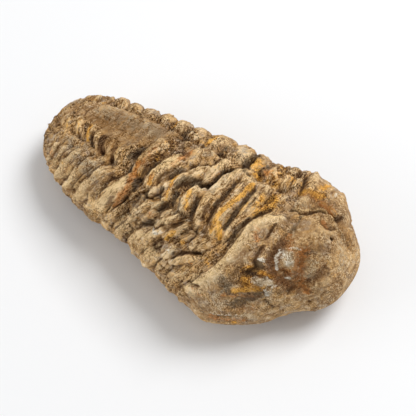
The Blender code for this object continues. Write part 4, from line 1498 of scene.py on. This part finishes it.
# %% Coats of colour: the coat, the noise it follows, where it starts and is full, its share, and a mask


def coat(under, over, share):
    """One colour over another, as thick as the share says."""
    return blend(share, under, over, "RGBA")


most_tint = blend(worn_down, 0.7, 0.35)
COATS = [
    (GREY_BROWN, bands, 0.4, 0.7, 0.8, 1.0),
    (COOL, tint, 0.47, 0.36, 1.0, most_tint),
    (WARM, tint, 0.52, 0.63, 1.0, most_tint),
    (BLOTCH, swirls, 0.56, 0.40, 0.6, on_head),
    # Painted highlight on the crests, and painted shade in the hollows
    (PAINTED_CREST_HIGHLIGHT, crest_highlight_and_shade, 0.05, 0.6, 0.75, 1.0),
    (PAINTED_HOLLOW_SHADE, crest_highlight_and_shade, -0.15, -0.75, 0.72, 1.0),
    (FLECK, flecks, 0.56, 0.66, 0.55, 1.0),
    (FLECK, wisps, 0.53, 0.59, 0.5, on_head),
    (UMBER_VEIL, wisps, 0.47, 0.4, 0.55, on_head),
]
colour = coat(BROWN, TAN, ramp(broad, 0.35, 0.65))
for over, pattern, start, full, most, mask in COATS:
    colour = coat(colour, over, ramp(pattern, start, full, to_high=most) * mask)
print("coats of colour:", len(COATS) + 2)

# %% [markdown]
# ## Stains in the material
#
# The strokes of stain, and the strokes of painted light and shade among them, lie over the stone's own
# colours. A real stain creeps between the grains, so its edge is never a clean line. Noise is added to a
# stain's strength before it is cut off, and each kind of stain reads the noise at another place, so that no
# two edges look alike.

# %% The colours of the stains and of the painted light and shade, and the most that each one covers
STAIN_AND_PAINTED_LIGHT_COLOURS = {
    "grey": ((0.355, 0.262, 0.157, 1), 0.8),
    "ochre": ((0.65, 0.305, 0.043, 1), 0.82),
    "rust": ((0.47, 0.18, 0.045, 1), 0.8),
    # Umber is partly a dark brown stain and partly painted shade in the furrows and cracks
    "umber_and_painted_shade": ((0.11, 0.047, 0.017, 1), 0.8),
    # Charcoal is partly a near-black stain and partly painted shade in the cracks and pits
    "charcoal_and_painted_shade": ((0.062, 0.038, 0.02, 1), 0.8),
    # Pale is partly paler stone and partly a painted highlight on crests and painted light on the near flank
    "pale_and_painted_light": ((0.65, 0.435, 0.2, 1), 0.8),
    "cream": ((0.66, 0.57, 0.43, 1), 0.85),
}
STAIN_SHIFT = 0.1
STAIN_EDGE = (0.3, 0.7)
CREEP, CREEP_ON_HEAD = 1.6, 1.2

creep = blend(on_head, CREEP, CREEP_ON_HEAD)
for number, (name, (stroke_colour, most)) in enumerate(STAIN_AND_PAINTED_LIGHT_COLOURS.items(), start=1):
    shifted = vector_maths("ADD", smooth_or_ribwise, (STAIN_SHIFT * number, 0.0, 0.0))
    spread = mottle(shifted, 1.1, detail=5, roughness=0.75, distortion=0.5)
    strength = stored(name) + (spread - 0.5) * creep + (grains - 0.5) * creep
    colour = coat(colour, stroke_colour, ramp(strength, *STAIN_EDGE, to_high=most))
print("stains:", ", ".join(STAIN_AND_PAINTED_LIGHT_COLOURS))

# %% [markdown]
# ## Light, dark and cracked grains
#
# Close up, the colour changes less than the shade does: each grain, chip and fibre is a little lighter or
# darker than the next, and fine dark cracks run between them. More colours would turn the stone to
# confetti, so all of these multiply one shade, which the colour is multiplied by at the end.

# %% Cracks: the rims of chips, and veins along the ribs
ALONG_VEINS = (1.0, 0.45, 0.45)
VEIN_EDGE, RIM_EDGE = (0.008, 0.026), (0.01, 0.07)
VEIN_DARKNESS, RIM_DARKNESS = 0.75, 0.55


def by_area(body, head, worn_share, streaked_share):
    """A value for the body and one for the head, and the shares of it that other areas keep."""
    return blend(on_head, body, head) * blend(worn_down, 1.0, worn_share) * blend(on_top, 1.0, streaked_share)


own, _, edge = chips(ribwise, TREE_INPUTS["Facet scale"])
rough_places = by_area(body=1.0, head=0.1, worn_share=0.4, streaked_share=1.0)
rough_places = rough_places * ramp(crumbly, 0.25, 0.8, to_low=0.35, to_high=1.0)
rims = ramp(edge, *RIM_EDGE, to_low=RIM_DARKNESS, to_high=0.0)
rims = rims * ramp(bands, 0.42, 0.58, to_low=0.2, to_high=1.0)
lines_there = mottle(stretched(ribwise, ALONG_VEINS), 0.9, detail=3, roughness=0.6, distortion=0.3)
veins = ramp(abs(lines_there - 0.5), *VEIN_EDGE, to_low=VEIN_DARKNESS, to_high=0.0)
cracked = maths("MAXIMUM", veins, rims) * rough_places
print("with cracks:", len(shader.nodes), "nodes")

# %% How much the fine grain and the sand change the shade, at each place
contrast = by_area(body=0.4, head=0.25, worn_share=0.7, streaked_share=1.35) * rough_patch
contrast = contrast * ramp(crumbly, 0.2, 0.9, to_low=0.5, to_high=1.15)
grit = by_area(body=0.75, head=0.45, worn_share=0.6, streaked_share=0.6) * rough_patch
print("with the contrast:", len(shader.nodes), "nodes")

# %% The shade: 1 leaves the colour as it is
CHIP_CONTRAST = 0.42
BODY_SHADE, HEAD_SHADE = 1.54, 1.31
BRIGHTEST = 1.5

shade = ramp(fine, 0.42, 0.58, to_low=-1.0, to_high=0.45) * contrast + 1.0
shade = shade * (ramp(sand, 0.38, 0.6, to_low=-1.0, to_high=0.5) * grit + 1.0)
chip_shade = vector_maths("DOT_PRODUCT", own, (0.0, 1.0, 0.0)) * CHIP_CONTRAST
shade = shade * (chip_shade * rough_places + 1.0)
# The wide areas, partly the stone's own tone and partly painted light and shade, scale the shade here
shade = shade * (stored("tone") + blend(on_head, BODY_SHADE, HEAD_SHADE))
shade = shade * ramp(bands, 0.3, 0.7, to_low=0.82, to_high=1.18) * (1.0 - cracked)
shade = maths("MINIMUM", shade, BRIGHTEST)
print("with the shade:", len(shader.nodes), "nodes")

# %% Shade the colour. A darker grain is also a redder one: the power is larger for green and for blue
SHADE_POWERS = (1.0, 1.25, 1.6)
SEAM_RAGGEDNESS, SEAM_EDGE, SEAM_DARKNESS = 1.6, (0.4, 0.85), 0.8

shades = add_node(shader, "ShaderNodeCombineXYZ")
for socket, power in zip(shades.inputs, SHADE_POWERS):
    put(socket, maths("POWER", shade, power))
shaded = vector_maths("MULTIPLY", colour, Wire(shades.outputs[0]))
# Painted shadow along the seams: edges of broken pieces and plates, thin cracks and the pinhole
in_seam_shadow = ramp((fine - 0.5) * SEAM_RAGGEDNESS + stored("painted_shadow_seams"), *SEAM_EDGE, to_high=SEAM_DARKNESS)
put(surface.inputs["Base Color"], coat(shaded, PAINTED_SEAM_SHADOW, in_seam_shadow))
surface.inputs["Roughness"].default_value = 0.85
surface.inputs["Specular IOR Level"].default_value = 0.15
print("with the colour:", len(shader.nodes), "nodes")

# %% Bump, for the grains that are smaller than the mesh can hold
BODY_BUMP, HEAD_BUMP = 0.8, 0.6
BUMP_HEIGHT = 0.6 * MM
SAND_SHARE, CRACK_SHARE = 0.3, -0.3

fine_relief = cracked * CRACK_SHARE + (sand * SAND_SHARE + fine)
values = {"Strength": blend(on_head, BODY_BUMP, HEAD_BUMP), "Distance": BUMP_HEIGHT, "Height": fine_relief}
bump = filled_node("ShaderNodeBump", values)
put(surface.inputs["Normal"], Wire(bump.outputs["Normal"]))
print("nodes in the material:", len(shader.nodes))

# %% [markdown]
# ## Table, light and camera
#
# The fossil lies on a white table in soft daylight. A white sky fills every shadow. One broad lamp stands
# up behind and to the right, and draws the shadow toward the lower left. A weak lamp low on the left
# lights the near flank a little. A small hard lamp would show the relief better, but it would make the
# stone look wet. A long lens well above the table keeps the fossil's sides nearly parallel.

# %% The table
TABLE_HALF = 3.0
TABLE_WHITE = (0.862, 0.868, 0.877, 1)

corners = [(x * TABLE_HALF, y * TABLE_HALF, 0) for x, y in ((-1, -1), (1, -1), (1, 1), (-1, 1))]
table_mesh = bpy.data.meshes.new("table")
table_mesh.from_pydata(corners, [], [(0, 1, 2, 3)])
table = bpy.data.objects.new("table", table_mesh)
bpy.context.scene.collection.objects.link(table)
white = bpy.data.materials.new("white table")
white.use_nodes = True
paint = white.node_tree.nodes["Principled BSDF"]
paint.inputs["Base Color"].default_value = TABLE_WHITE
paint.inputs["Roughness"].default_value = 1.0
paint.inputs["Specular IOR Level"].default_value = 0.0
table_mesh.materials.append(white)
print("table:", 2 * TABLE_HALF, "m wide")

# %% The sky
SKY_STRENGTH = 0.47

world = bpy.data.worlds.new("white sky")
bpy.context.scene.world = world
world.use_nodes = True
sky = world.node_tree.nodes["Background"]
sky.inputs["Color"].default_value = (1.0, 1.0, 1.0, 1)
sky.inputs["Strength"].default_value = SKY_STRENGTH
print("sky:", world.name)

# %% Which way the camera looks, and what is to the right and up in its view
CAMERA_AZIMUTH, CAMERA_ELEVATION = math.radians(35.3), math.radians(58)
view_right = Vector((math.cos(CAMERA_AZIMUTH), math.sin(CAMERA_AZIMUTH), 0))
view_up = Vector((-math.sin(CAMERA_AZIMUTH), math.cos(CAMERA_AZIMUTH), 0))
print("to the right in the view:", [round(value, 2) for value in view_right])

# %% The lamps
LAMP_DISTANCE = 0.8
# Degrees round from the right of the view to its top, degrees up, size in metres, and power in watts
LAMPS = {"key lamp": (30, 55, 0.4, 4.85), "fill lamp": (-170, 12, 0.6, 3.0)}


def direction(azimuth, elevation):
    """The way toward a lamp. It turns with the camera, so the shadow stays where it is in its view."""
    flat = view_right * math.cos(math.radians(azimuth)) + view_up * math.sin(math.radians(azimuth))
    return flat * math.cos(math.radians(elevation)) + Vector((0, 0, math.sin(math.radians(elevation))))


for name, (azimuth, elevation, size, power) in LAMPS.items():
    light = bpy.data.lights.new(name, "AREA")
    light.size = size
    light.energy = power
    lamp = bpy.data.objects.new(name, light)
    bpy.context.scene.collection.objects.link(lamp)
    toward = direction(azimuth, elevation).normalized()
    lamp.location = toward * LAMP_DISTANCE
    lamp.rotation_mode = "QUATERNION"
    lamp.rotation_quaternion = toward.to_track_quat("Z", "Y")
print("lamps:", ", ".join(LAMPS))

# %% The camera
LENS, SENSOR = 120.0, 36.0
CAMERA_DISTANCE = 310 * MM
AIM = Vector((4.0, 1.3, 9.0)) * MM

camera_data = bpy.data.cameras.new("camera")
camera_data.lens = LENS
camera_data.sensor_width = SENSOR
camera_data.clip_start, camera_data.clip_end = 0.01, 50.0
camera = bpy.data.objects.new("camera", camera_data)
bpy.context.scene.collection.objects.link(camera)
back = Vector((0, 0, math.sin(CAMERA_ELEVATION))) - view_up * math.cos(CAMERA_ELEVATION)
camera.location = AIM + back * CAMERA_DISTANCE
camera.rotation_mode = "QUATERNION"
camera.rotation_quaternion = back.to_track_quat("Z", "Y")
bpy.context.scene.camera = camera
print("camera, mm:", [round(value / MM) for value in camera.location])

# %% Plain colours
bpy.context.scene.view_settings.view_transform = "Standard"
bpy.context.scene.view_settings.look = "None"
print("view transform:", bpy.context.scene.view_settings.view_transform)
